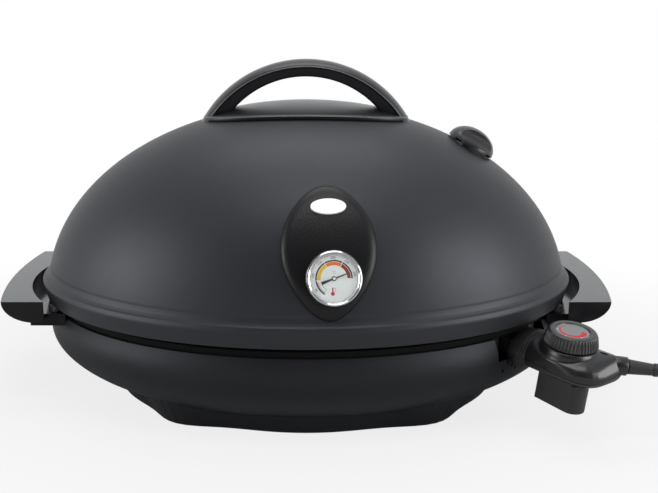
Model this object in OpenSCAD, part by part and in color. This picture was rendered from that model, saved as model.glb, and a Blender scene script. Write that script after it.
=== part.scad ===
// Electric table grill: an oval grill plate in a moulded base under a domed, hinged lid,
// with a plug-in thermostat at the front right. Millimetres, +X right, +Y rear, +Z up.
// The origin is on the table, under the centre of the oval.

/* [Ovals] */
// Depth of every oval as a share of its length
oval = 0.697; // [0.694:0.001:0.7]
// Half length of the dome's ellipsoid
dome_a = 260.3; // [260:0.1:260.6]
// Height of the dome's own equator above the table
dome_z = 100; // [99.5:0.1:100.5]
// Rise of the dome above that equator
dome_h = 185.2; // [184.5:0.1:186]
// Half length of the base's ellipsoid
base_a = 258.9; // [258.5:0.1:259.2]
// Height at which the base is widest
base_z = 70; // [69.5:0.1:70.5]
// Depth that the base's ellipsoid would have below that height
base_h = 83; // [82:0.5:84]

/* [Base] */
// Height of the base's rim
rim_z = 89.5; // [89:0.1:90]
// Height of the base's flat underside
floor_z = 12; // [11.5:0.1:12.5]
// Thickness of the moulded base
base_wall = 3; // [2.5:0.1:3.2]
// Half length of the foot ring between its lobes
foot_a = 190; // [188:1:192]
// How far the four corner lobes stand out
foot_lobe = 18; // [12:1:18]
// How far the front and rear swell between them
foot_swell = 9; // [4:1:9]

/* [Lid] */
// Half length of the ridge round the lid's skirt
ridge_a = 265.2; // [265:0.1:265.6]
// Height of that ridge
ridge_z = 116.6; // [116:0.1:117]
// Half length of the lid's lower edge
edge_a = 261.4; // [261:0.1:262]
// Height of the lid's lower edge
edge_z = 101; // [100.8:0.1:101.5]
// Height at which the dome flares into its skirt
groove_z = 131; // [130:0.5:132]
// Thickness of the pressed lid
lid_wall = 2; // [1.8:0.1:2.2]
// Height of the hinge pin
pin_z = 97; // [96.5:0.5:97.5]
// Distance of the hinge pin behind the centre
pin_y = 195; // [194.5:0.5:196]
// Diameter of the hinge pin
pin_d = 6; // [5:0.5:6]

/* [Lid handle] */
// Radius of the arch's outer face
arch_r = 117; // [116:0.5:118]
// Radius of the arch's inner face
arch_inner_r = 93.3; // [93:0.1:94]
// Top of the arch above the table
arch_top = 330.6; // [330:0.1:331]
// Thickness of the grip at its top
grip_t = 15.5; // [15:0.5:16]
// Depth of the grip, front to back
grip_w = 30; // [28:1:32]
// Half length of the saddle under the arch
saddle_a = 100; // [99.5:0.5:102]
// Half depth of the saddle
saddle_b = 48; // [46:1:50]
// Thickness of the saddle
saddle_t = 4.5; // [4:0.1:5]

/* [Thermometer] */
// Distance of the thermometer from the lid's centre line
thermo_x = 23.6; // [22:0.2:25]
// Height of the thermometer's centre
thermo_z = 161.7; // [160:0.1:163]
// Diameter of its bezel
bezel_d = 49; // [47:0.5:50]
// Width of the housing round it
badge_w = 81; // [79:1:83]
// Height of the housing along the slope of the lid
badge_l = 119; // [115:1:121]
// How far the housing stands off the lid
badge_t = 6.5; // [6:0.1:7]

/* [Vent] */
// Distance of the vent from the lid's centre
vent_x = 162; // [160:1:164]
// Diameter of the vent knob
vent_d = 48; // [47:0.5:49]
// Diameter of the vent's shaft
vent_shaft = 5; // [4:0.5:5]
// Rise of the vent knob's cap
vent_rise = 17.5; // [16:0.5:18]
// Number of steam holes
vent_holes = 4; // [3:1:4]

/* [Side handles] */
// Reach of the side handles from the centre
wing_reach = 299; // [298:0.5:300]
// Radius of the bow that their outer edge follows
wing_bow_r = 400; // [380:10:420]
// Height of their flat top
wing_top = 110; // [109.5:0.1:110.5]
// Height of one handle
wing_h = 21; // [20:0.5:22]
// Half length of the oval that their inner faces follow
wing_inner_a = 276; // [275.5:0.5:277]
// Reach of a handle to the front of the centre
wing_half = 81; // [78:1:82]
// How much further it runs to the rear
wing_rear = 11; // [0:1:12]
// Half length of the bridge that carries a handle on the base
bridge_half = 72; // [70:1:73]

/* [Grill plate] */
// Half length of the plate at its rim
plate_a = 248; // [247:0.5:248.5]
// Height of the plate's flat underside
plate_z = 86; // [85.8:0.1:86.2]
// Thickness of the plate
plate_t = 5; // [4:0.5:5.5]
// Distance between two ribs
rib_pitch = 13; // [12:0.5:15]
// Height of a rib
rib_h = 4; // [3:0.5:4]

/* [Thermostat] */
// Direction in which the plug pulls out, in degrees clockwise from +X
plug_turn = 48; // [47:0.5:49]
// Height of the plug's axis
plug_z = 78; // [77.8:0.1:78.2]
// Distance between the two contact pins
pin_pitch = 24; // [23:0.5:25]
// Diameter of the temperature probe
probe_d = 7.9; // [7.5:0.1:8]
// Length of the probe in front of the plug
probe_l = 70; // [60:1:72]
// Droop of the head below the plug's axis, in degrees
droop = 7.5; // [7:0.5:8]
// Diameter of the dial at its foot
dial_d = 50; // [49:0.5:51]
// Number of ribs round the dial
dial_ribs = 48; // [36:4:60]

/* [Mains lead] */
// Diameter of the lead
lead_d = 7.5; // [7:0.5:8]
// Mean diameter of the coil that the spare lead is wound into
coil_d = 82; // [80:1:84]

/* [Hidden] */
$fn = 48;

matte_black = [0.19, 0.19, 0.2];
plastic_black = [0.1, 0.1, 0.11];
rubber_black = [0.07, 0.07, 0.07];
steel = [0.75, 0.75, 0.76];
eps = 0.01;
gap = 0.3;

function unit(v) = v / norm(v);

// ---- ovals and where things stand on them ----
module oval_ball(a, h) {
    scale([a, a * oval, h]) sphere(1, $fn = 240);
}

module oval_disc(a, h) {
    scale([1, oval, 1]) cylinder(r = a, h = h, $fn = 96);
}

module oval_ring(a, inner, h) {
    difference() {
        oval_disc(a, h);
        translate([0, 0, -1]) oval_disc(inner, h + 2);
    }
}

// Turns a half section into a solid of the same oval, a quarter at a time
module oval_turn() {
    for (quarter = [0:3])
        scale([1, oval, 1]) rotate(90 * quarter) rotate_extrude(angle = 90, $fn = 96) children();
}

module slab(z0, z1) {
    translate([-400, -400, z0]) cube([800, 800, z1 - z0]);
}

module dome(grow) {
    translate([0, 0, dome_z]) oval_ball(dome_a + grow, dome_h + grow);
}

module base_solid(grow) {
    translate([0, 0, base_z]) oval_ball(base_a + grow, base_h + grow);
}

// Height of the dome over a point of the plan, and its front at a height
function dome_top(x, y) = dome_z + dome_h * sqrt(1 - pow(x / dome_a, 2) - pow(y / dome_a / oval, 2));
function dome_front(x, z) = -dome_a * oval * sqrt(1 - pow(x / dome_a, 2) - pow((z - dome_z) / dome_h, 2));
function on_ridge(x) = [x, 0, dome_top(x, 0)];
function on_front(x, z) = [x, dome_front(x, z), z];
function dome_normal(p) = unit([p.x / pow(dome_a, 2), p.y / pow(dome_a * oval, 2),
    (p.z - dome_z) / pow(dome_h, 2)]);

// Stands its children on the dome: local Z leaves the lid, local X runs down the slope
module on_dome(p) {
    n = dome_normal(p);
    translate(p) rotate([0, acos(n.z), atan2(n.y, n.x)]) children();
}

// ---- base ----
screw_angles = [54, 126, 234, 306];
foot_corner_a = 190;
function foot_corner(t) = [foot_corner_a * cos(t), foot_corner_a * oval * sin(t)];

// The foot's outline: an oval with four corner lobes that swells at the front and rear
function lobe(t, at, width) = exp(-pow((((t - at + 540) % 360) - 180) / width, 2));
function foot_radius(t) = foot_a
    + foot_lobe * (lobe(t, 54, 11) + lobe(t, 126, 11) + lobe(t, 234, 11) + lobe(t, 306, 11))
    + foot_swell * (lobe(t, 90, 24) + lobe(t, 270, 24));

module foot_outline(inset) {
    polygon([for (t = [0:3:357]) (foot_radius(t) - inset) * [cos(t), oval * sin(t)]]);
}

// The plug stands square to the base's wall: local X points out, local Y to the rear right
plug_at = [203, -100, plug_z];

module at_plug() {
    translate(plug_at) rotate([0, 0, -plug_turn]) children();
}

ledge_a = 239;
ledge_t = 3;
boss_low = 15.5;
boss_top = 23;

module base_bowl() color(matte_black) {
    difference() {
        union() {
            difference() {
                base_solid(0);
                difference() {
                    base_solid(-base_wall);
                    slab(-100, floor_z + base_wall);
                }
            }
            intersection() {
                translate([0, 0, rim_z - ledge_t]) oval_ring(base_a - 2, ledge_a, ledge_t);
                base_solid(-1);
            }
            for (t = screw_angles)
                translate([foot_corner(t).x, foot_corner(t).y, boss_low])
                    cylinder(d = 10, h = boss_top - boss_low);
        }
        slab(-100, floor_z);
        slab(rim_z, 400);
        // notch that the plug passes through, open at the rim
        at_plug() translate([-30, -41, -9]) cube([60, 73, 40]);
        // four small drip slots under the notch
        for (slot = [[-34, -22], [-30, -13], [-23.5, -17.5], [-17, -22]])
            at_plug() translate([-25, slot.x, slot.y]) cube([50, 2.6, 4]);
        for (t = screw_angles)
            translate([foot_corner(t).x, foot_corner(t).y, 0]) cylinder(d = 4, h = boss_top - 1.5);
        // holes and grooves for the side handles' screws
        for (turn = [0, 180], side = [-1, 1]) rotate([0, 0, turn])
            translate([0, side * screw_y, wing_screw_z]) rotate([0, 90, 0]) {
                translate([0, 0, 200]) cylinder(d = 6.4, h = screw_seat - 200);
                translate([0, 0, 220]) cylinder(d = 3.2, h = 40);
            }
        for (x = [-22, 22]) translate([x, 150, 71]) rotate([-90, 0, 0]) cylinder(d = 4.2, h = 60);
    }
}

foot_z = 1.5;
foot_h = 27;

module foot_ring() color(matte_black) {
    difference() {
        union() {
            difference() {
                translate([0, 0, foot_z]) linear_extrude(foot_h - foot_z, scale = 1.06) foot_outline(0);
                translate([0, 0, foot_z - 1]) linear_extrude(foot_h, scale = 1.06) foot_outline(3);
            }
            for (t = screw_angles)
                translate([foot_corner(t).x, foot_corner(t).y, foot_z]) {
                    cylinder(d = 22, h = 18);
                    // a web joins the boss to the sloping wall outside it
                    rotate([90, 0, atan2(foot_corner(t).y, foot_corner(t).x)])
                        translate([0, 0, -2.5]) linear_extrude(5)
                        polygon([[5, 0], [13.6, 0], [20.5, 18], [5, 18]]);
                }
        }
        difference() {
            base_solid(0);
            slab(-100, floor_z);
        }
        for (t = screw_angles)
            translate([foot_corner(t).x, foot_corner(t).y, 0]) {
                cylinder(d = 4.2, h = 30);
                translate([0, 0, foot_z]) cylinder(d = 16.4, h = 2);
                cylinder(d = 9, h = 7.5);
            }
    }
}

module rubber_feet() color(rubber_black) {
    for (t = screw_angles)
        translate([foot_corner(t).x, foot_corner(t).y, 0])
            rotate_extrude() polygon([[0, 0], [7, 0], [8, 1], [8, 3.5], [0, 3.5]]);
}

module foot_screws() color(steel) {
    for (t = screw_angles)
        translate([foot_corner(t).x, foot_corner(t).y, 0]) {
            translate([0, 0, 5]) cylinder(d = 8, h = 2.5);
            translate([0, 0, 7.5 - eps]) cylinder(d = 4, h = boss_top - 9);
        }
}

reflector_z = 56;
chute = [76, 30];

module heat_reflector() color([0.8, 0.8, 0.82]) {
    difference() {
        oval_turn() polygon([[0, reflector_z], [196, reflector_z],
            [214, reflector_z + 14], [222, reflector_z + 14], [222, reflector_z + 15.5],
            [213, reflector_z + 15.5], [195, reflector_z + 1.5], [0, reflector_z + 1.5]]);
        translate([-chute.x / 2, -chute.y / 2, 0]) cube([chute.x, chute.y, 100]);
        at_plug() translate([-60, -45, -20]) cube([120, 90, 60]);
    }
    // four legs that stand on the base's floor
    for (x = [-140, 140], y = [-70, 70])
        translate([x, y, floor_z + base_wall]) cylinder(d = 8, h = reflector_z - floor_z - base_wall);
}

tray = [150, 84, 26];

module drip_tray() color([0.72, 0.72, 0.74]) {
    translate([-tray.x / 2, -tray.y / 2, floor_z + base_wall]) difference() {
        cube(tray);
        translate([1.5, 1.5, 1.5]) cube([tray.x - 3, tray.y - 3, tray.z]);
    }
}

// ---- grill plate and its heater ----
plate_rim_z = 95;
rib_n = 16;
gutter = 18;

module rib(x, side) {
    translate([x, side * gutter / 2, plate_z + plate_t - eps]) rotate([90, 0, side > 0 ? 180 : 0])
        linear_extrude(170) polygon([[-2.6, 0], [-1.5, rib_h], [1.5, rib_h], [2.6, 0]]);
}

module grill_plate() color([0.13, 0.13, 0.14]) {
    difference() {
        union() {
            oval_turn() polygon([[0, plate_z], [236, plate_z],
                [238, rim_z], [plate_a - 1, rim_z], [plate_a, plate_rim_z], [plate_a - 3, plate_rim_z],
                [plate_a - 5, plate_rim_z - 2.5], [240, plate_rim_z - 2.5],
                [232, plate_z + plate_t], [0, plate_z + plate_t]]);
            intersection() {
                union() {
                    for (i = [-rib_n:rib_n], side = [-1, 1]) rib(i * rib_pitch, side);
                }
                translate([0, 0, plate_z]) oval_disc(222, 30);
            }
        }
        for (x = [-24, 0, 24]) translate([x, 0, 0]) cylinder(d = 12, h = 200);
    }
}

element_d = 7;
element_z = plate_z - element_d / 2;
element_r = 70;
element_run = 110;
element_tail = -68;

// Where a spot beside the plug's axis lies on the table's plan
function plug_spot(x, y) = [plug_at.x + x * cos(plug_turn) + y * sin(plug_turn),
    plug_at.y - x * sin(plug_turn) + y * cos(plug_turn)];
function tail_angle(y) = let (p = plug_spot(element_tail, y)) atan2(p.y, p.x - element_run);

module tube_bend(from, to) {
    rotate([0, 0, from]) rotate_extrude(angle = to - from) translate([element_r, 0]) circle(d = element_d);
}

module heating_element() color([0.35, 0.33, 0.32]) {
    // one rod bent into a long loop that stays open between its two cold ends
    translate([0, 0, element_z]) {
        for (side = [-1, 1]) translate([-element_run, side * element_r, 0]) rotate([0, 90, 0])
            cylinder(d = element_d, h = 2 * element_run);
        translate([-element_run, 0, 0]) tube_bend(90, 270);
        translate([element_run, 0, 0]) {
            tube_bend(tail_angle(pin_pitch / 2), 90);
            tube_bend(-90, tail_angle(-pin_pitch / 2));
        }
    }
    for (y = [-0.5, 0.5]) at_plug() translate([element_tail, y * pin_pitch, element_z - plug_z]) {
        sphere(d = element_d);
        rotate([0, 90, 0]) cylinder(d = element_d, h = block_x - element_tail);
    }
}

block_x = -44;

module terminal_block() color([0.85, 0.83, 0.78]) {
    at_plug() {
        difference() {
            translate([block_x, -20, -7]) cube([10, 40, 7 + plate_z - plug_z]);
            translate([block_x - 1, 0, 0]) rotate([0, 90, 0]) cylinder(d = probe_d + 0.8, h = 12);
            for (y = [-0.5, 0.5])
                translate([block_x - 1, y * pin_pitch, 0]) rotate([0, 90, 0]) cylinder(d = 5, h = 12);
        }
        for (y = [-0.5, 0.5])
            translate([block_x, y * pin_pitch, 0]) rotate([0, 90, 0]) cylinder(d = 5, h = 34);
    }
}

module socket_plate() color([0.14, 0.14, 0.15]) {
    at_plug() difference() {
        translate([-11, -40, -8.5]) cube([2, 71, 16]);
        translate([-12, -22.5, -7.8]) cube([4, 45, 15.4]);
    }
}

// ---- side handles, their screws and what the lid rests on ----
screw_y = 63;
bridge_low = 83;
bridge_high = 95;
wing_screw_z = 84.9;
screw_seat = 234.4;

// Section of a handle: flat on top, its lower outer corner swept up to the edge
module wing_section() {
    low = wing_top - wing_h;
    sweep = [30, wing_h - 0.5];
    polygon(concat([[wing_bow_r - 75, wing_top], [wing_bow_r - 75, low]],
        [for (t = [-90:7.5:0]) [wing_bow_r - sweep.x * (1 - cos(t)), low + sweep.y * (1 + sin(t))]],
        [[wing_bow_r, wing_top]]));
}

module side_handle() {
    difference() {
        union() {
            intersection() {
                // the bow, with the section turned about its centre
                translate([wing_reach - wing_bow_r, 0, 0]) rotate(-20)
                    rotate_extrude(angle = 40, $fn = 240) wing_section();
                translate([150, -wing_half, 0]) cube([200, 2 * wing_half + wing_rear, 200]);
                difference() {
                    translate([200, -100, 0]) cube([120, 200, 200]);
                    oval_disc(wing_inner_a, 200);
                }
            }
            translate([232, -bridge_half, bridge_low])
                cube([34, 2 * bridge_half, bridge_high - bridge_low]);
            // web that closes the gap between bridge and handle from below
            translate([232, -60, wing_top - wing_h]) cube([48, 120, bridge_high - wing_top + wing_h]);
        }
        difference() {
            base_solid(0);
            slab(rim_z, 200);
        }
        translate([0, 0, rim_z - 1]) oval_disc(249.2, 20);
        for (side = [-1, 1])
            translate([228, side * screw_y, wing_screw_z]) rotate([0, 90, 0]) cylinder(d = 3, h = 26);
    }
}

module side_handle_left() color(plastic_black) mirror([1, 0, 0]) side_handle();

module side_handle_right() color(plastic_black) side_handle();

module handle_screws() color(steel) {
    for (turn = [0, 180], side = [-1, 1]) rotate([0, 0, turn]) {
        translate([0, side * screw_y, wing_screw_z]) rotate([0, 90, 0]) {
            translate([0, 0, screw_seat - eps]) cylinder(d = 3, h = 18);
            translate([0, 0, screw_seat - 2.4]) cylinder(d = 5.6, h = 2.4);
        }
    }
}

module lid_rests() color(rubber_black) {
    rest_x = (edge_a - 1) * sqrt(1 - pow(screw_y / (edge_a - 1) / oval, 2));
    for (x = [-rest_x, rest_x], y = [-screw_y, screw_y])
        translate([x, y, bridge_high]) cylinder(d = 8, h = edge_z - gap - bridge_high);
}

// ---- hinge ----
leaf_w = 56;
ear_t = 4;

module hinge_bracket() color([0.2, 0.2, 0.21]) {
    difference() {
        union() {
            translate([-40, 172, 60]) cube([80, 13, 22]);
            for (side = [-1, 1]) translate([side * (leaf_w / 2 + gap + ear_t / 2), 0, 0]) {
                rotate([90, 0, 90]) linear_extrude(ear_t, center = true)
                    polygon([[178, 62], [186, 62], [pin_y + 6, pin_z], [pin_y - 6, pin_z], [182, 84],
                        [178, 84]]);
                translate([0, pin_y, pin_z]) rotate([0, 90, 0]) cylinder(d = 12, h = ear_t, center = true);
            }
        }
        base_solid(0);
        translate([0, pin_y, pin_z]) rotate([0, 90, 0]) cylinder(d = pin_d, h = 100, center = true);
        for (x = [-22, 22]) translate([x, 190, 71]) rotate([90, 0, 0]) cylinder(d = 4.2, h = 30);
    }
}

module hinge_pin() color(steel) {
    reach = leaf_w / 2 + gap + ear_t;
    translate([-reach, pin_y, pin_z]) rotate([0, 90, 0]) {
        cylinder(d = pin_d, h = 2 * reach);
        translate([0, 0, -1.5]) cylinder(d = pin_d + 4, h = 1.5);
        translate([0, 0, 2 * reach]) cylinder(d = pin_d + 4, h = 1.5);
    }
}

module bracket_rivets() color(steel) {
    // heads inside on the bowl's wall and outside on the bracket
    for (x = [-22, 22]) translate([x, 0, 71]) rotate([-90, 0, 0]) {
        translate([0, 0, 175.3]) cylinder(d = 8, h = 2);
        translate([0, 0, 177]) cylinder(d = 4, h = 9);
        translate([0, 0, 185]) cylinder(d = 8, h = 2);
    }
}

module skirt_solid() {
    oval_turn() polygon(concat([[0, edge_z]], skirt_outer, [[0, groove_z]]));
}

module hinge_leaf() color([0.2, 0.2, 0.21]) {
    difference() {
        union() {
            difference() {
                translate([-leaf_w / 2, 176, edge_z + 1]) cube([leaf_w, 12, 13]);
                skirt_solid();
            }
            translate([-leaf_w / 2, 184, pin_z + 2]) cube([leaf_w, pin_y - 184, 3]);
            translate([-leaf_w / 2, 184, pin_z + 2]) cube([leaf_w, 3, 5]);
            translate([0, pin_y, pin_z]) rotate([0, 90, 0]) cylinder(d = 10, h = leaf_w, center = true);
        }
        translate([0, pin_y, pin_z]) rotate([0, 90, 0]) cylinder(d = pin_d + 0.1, h = 100, center = true);
        for (x = [-18, 18]) translate([x, 160, 108]) rotate([-90, 0, 0]) cylinder(d = 4.2, h = 40);
    }
}

module leaf_rivets() color(steel) {
    for (x = [-18, 18]) translate([x, 0, 108]) rotate([-90, 0, 0]) {
        translate([0, 0, 178]) cylinder(d = 4, h = 12);
        translate([0, 0, 188]) cylinder(d = 8, h = 1.5);
    }
}

// ---- lid ----
function dome_radius(z, grow) = (dome_a + grow) * sqrt(1 - pow((z - dome_z) / (dome_h + grow), 2));
flare = [15, 13];
skirt_outer = concat([[edge_a, edge_z], [263.6, 109], [ridge_a - 0.3, ridge_z - 2.2],
    [ridge_a, ridge_z - 0.6], [ridge_a - 0.2, ridge_z + 0.8]],
    [for (t = [55:-11:0]) [dome_radius(groove_z, 0) + flare.x * (1 - cos(t)), groove_z - flare.y * sin(t)]]);
function inward(p, t) = [for (i = [0:len(p) - 1])
    let (d = unit(p[min(i + 1, len(p) - 1)] - p[max(i - 1, 0)])) p[i] + t * [-d.y, d.x]];
skirt_inner = [for (p = inward(skirt_outer, lid_wall)) [p.x, max(edge_z, min(p.y, groove_z))]];
skirt_root = [for (x = [0.7, 1.3]) [dome_radius(groove_z, 0) - x, groove_z + 1]];

thermo_at = on_front(thermo_x, thermo_z);
vent_at = on_ridge(vent_x);
bolt_x = 86;
badge_x = 20;
badge_at = on_front(badge_x, 184);
plate_at = on_front(19, 216);
plate_share = 0.47;
badge_screw_x = [badge_x - 26, badge_x + 26];
badge_screw_z = 203;

module vent_bores(d, turn) {
    for (i = [0:vent_holes - 1]) rotate([0, 0, turn + i * 360 / vent_holes])
        translate([13, 0, -20]) cylinder(d = d, h = 40);
}

module lid_shell() color(matte_black) {
    difference() {
        union() {
            difference() {
                dome(0);
                dome(-lid_wall);
                slab(-200, groove_z);
            }
            oval_turn() polygon(concat(skirt_outer, skirt_root,
                [for (i = [len(skirt_inner) - 1:-1:0]) skirt_inner[i]]));
        }
        on_dome(thermo_at) translate([0, 0, -20]) cylinder(d = 10.4, h = 40);
        on_dome(vent_at) {
            translate([0, 0, -20]) cylinder(d = vent_shaft + 0.1, h = 40);
            vent_bores(8, 45);
        }
        for (x = [-bolt_x, bolt_x]) on_dome(on_ridge(x)) translate([0, 0, -20]) cylinder(d = 4.2, h = 40);
        for (x = [-18, 18]) translate([x, 150, 108]) rotate([-90, 0, 0]) cylinder(d = 4.2, h = 50);
        for (x = badge_screw_x)
            on_dome(on_front(x, badge_screw_z)) translate([0, 0, -20]) cylinder(d = 2.6, h = 40);
    }
}

module lid_handle() color(plastic_black) {
    outer_z = arch_top - arch_r;
    inner_z = arch_top - grip_t - arch_inner_r;
    difference() {
        union() {
            // saddle that follows the dome
            intersection() {
                dome(saddle_t);
                translate([0, 0, 200]) scale([saddle_a, saddle_b, 1]) cylinder(r = 1, h = 120, $fn = 96);
            }
            // arch, crowned across its width
            intersection() {
                translate([0, 0, outer_z]) rotate([90, 0, 0]) rotate_extrude($fn = 128)
                    polygon(concat([[0, -grip_w / 2], [arch_r - 6, -grip_w / 2]],
                        [for (t = [-75:15:75]) [arch_r - 6 + 6 * cos(t), grip_w / 2 * sin(t)]],
                        [[arch_r - 6, grip_w / 2], [0, grip_w / 2]]));
                translate([-150, -50, 262]) cube([300, 100, 100]);
            }
        }
        dome(0);
        // opening between the arch and the saddle
        difference() {
            translate([0, 50, inner_z]) rotate([90, 0, 0]) cylinder(r = arch_inner_r, h = 100, $fn = 128);
            dome(saddle_t);
        }
        for (x = [-bolt_x, bolt_x]) on_dome(on_ridge(x)) translate([0, 0, -2]) cylinder(d = 4, h = 13);
    }
}

module handle_bolts() color(steel) {
    for (x = [-bolt_x, bolt_x]) on_dome(on_ridge(x)) {
        translate([0, 0, -lid_wall - 3.1]) cylinder(d = 9, h = 3);
        translate([0, 0, -lid_wall - 1]) cylinder(d = 4, h = 13);
    }
}

module badge_housing() color(plastic_black) {
    difference() {
        intersection() {
            dome(badge_t);
            on_dome(badge_at) translate([0, 0, -20]) scale([badge_l / 2, badge_w / 2, 1])
                cylinder(r1 = 1.11, r2 = 0.91, h = 40, $fn = 96);
        }
        dome(0);
        skirt_solid();
        on_dome(thermo_at) {
            translate([0, 0, -20]) cylinder(d = 10.4, h = 40);
            translate([0, 0, 3.5]) cylinder(d = bezel_d + 0.4, h = 20);
        }
        on_dome(plate_at) translate([0, 0, badge_t - 2.2])
            scale([plate_share, 1, 1]) cylinder(d = 31.4, h = 10);
        for (x = badge_screw_x)
            on_dome(on_front(x, badge_screw_z)) translate([0, 0, -5]) cylinder(d = 2.5, h = 9);
    }
}

module name_plate() color([0.92, 0.92, 0.92]) {
    on_dome(plate_at) translate([0, 0, badge_t - 2.2]) scale([plate_share, 1, 1]) cylinder(d = 31, h = 2.4);
}

module badge_screws() color(steel) {
    for (x = badge_screw_x) on_dome(on_front(x, badge_screw_z)) {
        translate([0, 0, -lid_wall - 2.1]) cylinder(d = 6, h = 2);
        translate([0, 0, -lid_wall - 1]) cylinder(d = 2.5, h = lid_wall + 4.5);
    }
}

// Thermometer, from the lid outward: case, face, needle and glass
module thermometer_case() color(steel) {
    r = bezel_d / 2;
    on_dome(thermo_at) difference() {
        rotate_extrude($fn = 96) polygon([[0, 3.5], [r - 1, 3.5], [r, 4.5], [r, 8.8], [r - 0.9, 10.4],
            [r - 1.9, 10.8], [r - 2.8, 10.4], [r - 3.4, 9.6], [r - 3.4, 8.8], [r - 2.4, 8.8],
            [r - 2.4, 5], [0, 5]]);
        cylinder(d = 6.2, h = 20);
    }
}

module thermometer_face() color([0.9, 0.92, 0.93]) {
    on_dome(thermo_at) translate([0, 0, 5]) difference() {
        cylinder(r = bezel_d / 2 - 2.6, h = 0.8, $fn = 96);
        translate([0, 0, -1]) cylinder(d = 2, h = 3);
    }
}

module thermometer_glass() color([0.85, 0.9, 0.92, 0.35]) {
    on_dome(thermo_at) translate([0, 0, 7.6]) cylinder(r = bezel_d / 2 - 2.6, h = 1.2, $fn = 96);
}

module thermometer_stem() color(steel) {
    on_dome(thermo_at) difference() {
        union() {
            translate([0, 0, -9]) cylinder(d = 10, h = 12.5);
            translate([0, 0, -46]) cylinder(d = 5, h = 40);
            translate([0, 0, 3]) cylinder(d = 6, h = 2);
        }
        translate([0, 0, 2]) cylinder(d = 2, h = 4);
    }
}

module thermometer_nut() color(steel) {
    on_dome(thermo_at) translate([0, 0, -lid_wall - 3.7]) difference() {
        cylinder(d = 17, h = 3.5, $fn = 6);
        translate([0, 0, -1]) cylinder(d = 10, h = 6);
    }
}

needle_angle = 20;

module thermometer_needle() color([0.05, 0.05, 0.05]) {
    // measured from the face's right-hand side, which is local +Y
    on_dome(thermo_at) rotate([0, 0, 90 + needle_angle]) {
        translate([0, 0, 6.3]) linear_extrude(0.5)
            polygon([[-11, -1.1], [-11, 1.1], [-2, 0.9], [14, 0.25], [14, -0.25], [-2, -0.9]]);
        translate([0, 0, 6.2]) cylinder(d = 4, h = 1);
        translate([0, 0, 2.6]) cylinder(d = 1.9, h = 4);
    }
}

// ---- vent ----
module vent_seat() color(plastic_black) {
    difference() {
        on_dome(vent_at) translate([0, 0, -6]) difference() {
            cylinder(d = vent_d - 3, h = 6.5);
            translate([0, 0, -1]) cylinder(d = vent_shaft + 0.1, h = 12);
        }
        dome(0);
        on_dome(vent_at) vent_bores(8, 45);
    }
}

module vent_knob() color(plastic_black) {
    low = 0.8;
    r = vent_d / 2;
    hollow_r = 13.2;
    on_dome(vent_at) difference() {
        // low domed cap with a finger hollow either side of the bar in its middle
        intersection() {
            translate([0, 0, low]) scale([1, 1, vent_rise / r]) sphere(r, $fn = 96);
            translate([-50, -50, low]) cube([100, 100, 50]);
        }
        for (side = [-1, 1]) translate([-50, side * 22.5, low + 17]) rotate([0, 90, 0])
            cylinder(r = hollow_r, h = 100);
        translate([0, 0, low - 1]) difference() {
            cylinder(d = 38, h = 3);
            cylinder(d = 9, h = 3);
        }
        for (t = [45:90:315]) rotate([0, 0, t]) translate([10, -4, low - 1]) cube([20, 8, 2.6]);
        translate([0, 0, low - 1]) cylinder(d = vent_shaft, h = 5);
    }
}

module vent_shaft_pin() color(steel) {
    on_dome(vent_at) {
        translate([0, 0, -6]) cylinder(d = vent_shaft, h = 9.8);
        translate([0, 0, -7.4]) cylinder(d = 9, h = 2);
    }
}

module vent_shutter() color(steel) {
    on_dome(vent_at) difference() {
        translate([0, 0, -5.4]) cylinder(d = 38, h = 1);
        translate([0, 0, -10]) cylinder(d = vent_shaft, h = 20);
        vent_bores(8, 0);
    }
}

// ---- thermostat: plug, probe, head and dial ----
neck_x = [3, 22];
// where the neck has left the base's wall and takes its full section
neck_out = 10;

module neck_profile(grow) {
    // arch over a flat foot, seen along the plug
    intersection() {
        translate([0, -13]) circle(27 + grow, $fn = 96);
        translate([-25 - grow, -13 - grow]) square([50 + 2 * grow, 30 + 2 * grow]);
    }
}

// Turns a profile drawn across the plug into a solid along it
module along_plug(x0, x1) {
    translate([x0, 0, 0]) rotate([90, 0, 90]) linear_extrude(x1 - x0) children();
}

module plug_neck() color(plastic_black) {
    at_plug() difference() {
        union() {
            along_plug(neck_x[0], neck_x[1] - 3) neck_profile(0);
            // ring round the neck just short of the head
            along_plug(neck_x[1] - 9, neck_x[1] - 5) neck_profile(1.2);
            along_plug(neck_x[1] - 4, neck_x[1]) neck_profile(-1);
            translate([-26, -21, -6.5]) cube([30, 42, 13]);
        }
        translate([-30, -40, -30]) cube([30 + neck_out, 80, 30 - 8.5]);
        for (y = [-0.5, 0.5]) translate([-30, y * pin_pitch, 0]) rotate([0, 90, 0]) cylinder(d = 9, h = 26);
        translate([-30, 0, 0]) rotate([0, 90, 0]) cylinder(d = probe_d, h = 30);
    }
}

module contact_sleeves() color([0.75, 0.6, 0.3]) {
    at_plug() for (y = [-0.5, 0.5]) translate([-25, y * pin_pitch, 0]) rotate([0, 90, 0]) difference() {
        cylinder(d = 9, h = 21);
        translate([0, 0, -1]) cylinder(d = 5.8, h = 20);
    }
}

module temperature_probe() color(steel) {
    at_plug() {
        translate([-26 - probe_l + probe_d / 2, 0, 0]) rotate([0, 90, 0])
            cylinder(d = probe_d, h = probe_l + 26 - probe_d / 2);
        translate([-26 - probe_l + probe_d / 2, 0, 0]) sphere(d = probe_d);
    }
}

// The head hangs from the neck: local X runs on outward, local Z is the dial's axis
module at_head() {
    at_plug() translate([neck_x[1], 0, 0]) rotate([0, droop, 0]) children();
}

dial_x = 30;
seam_z = -4;
deck_z = 16.7;
tail_at = [70, 19.5, 7];
tail_turn = 42;
// where the collar at the tail ends, along the lead
tail_end = 7.6;
head_screw_spots = [[52, -16], [60, 16]];

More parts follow.
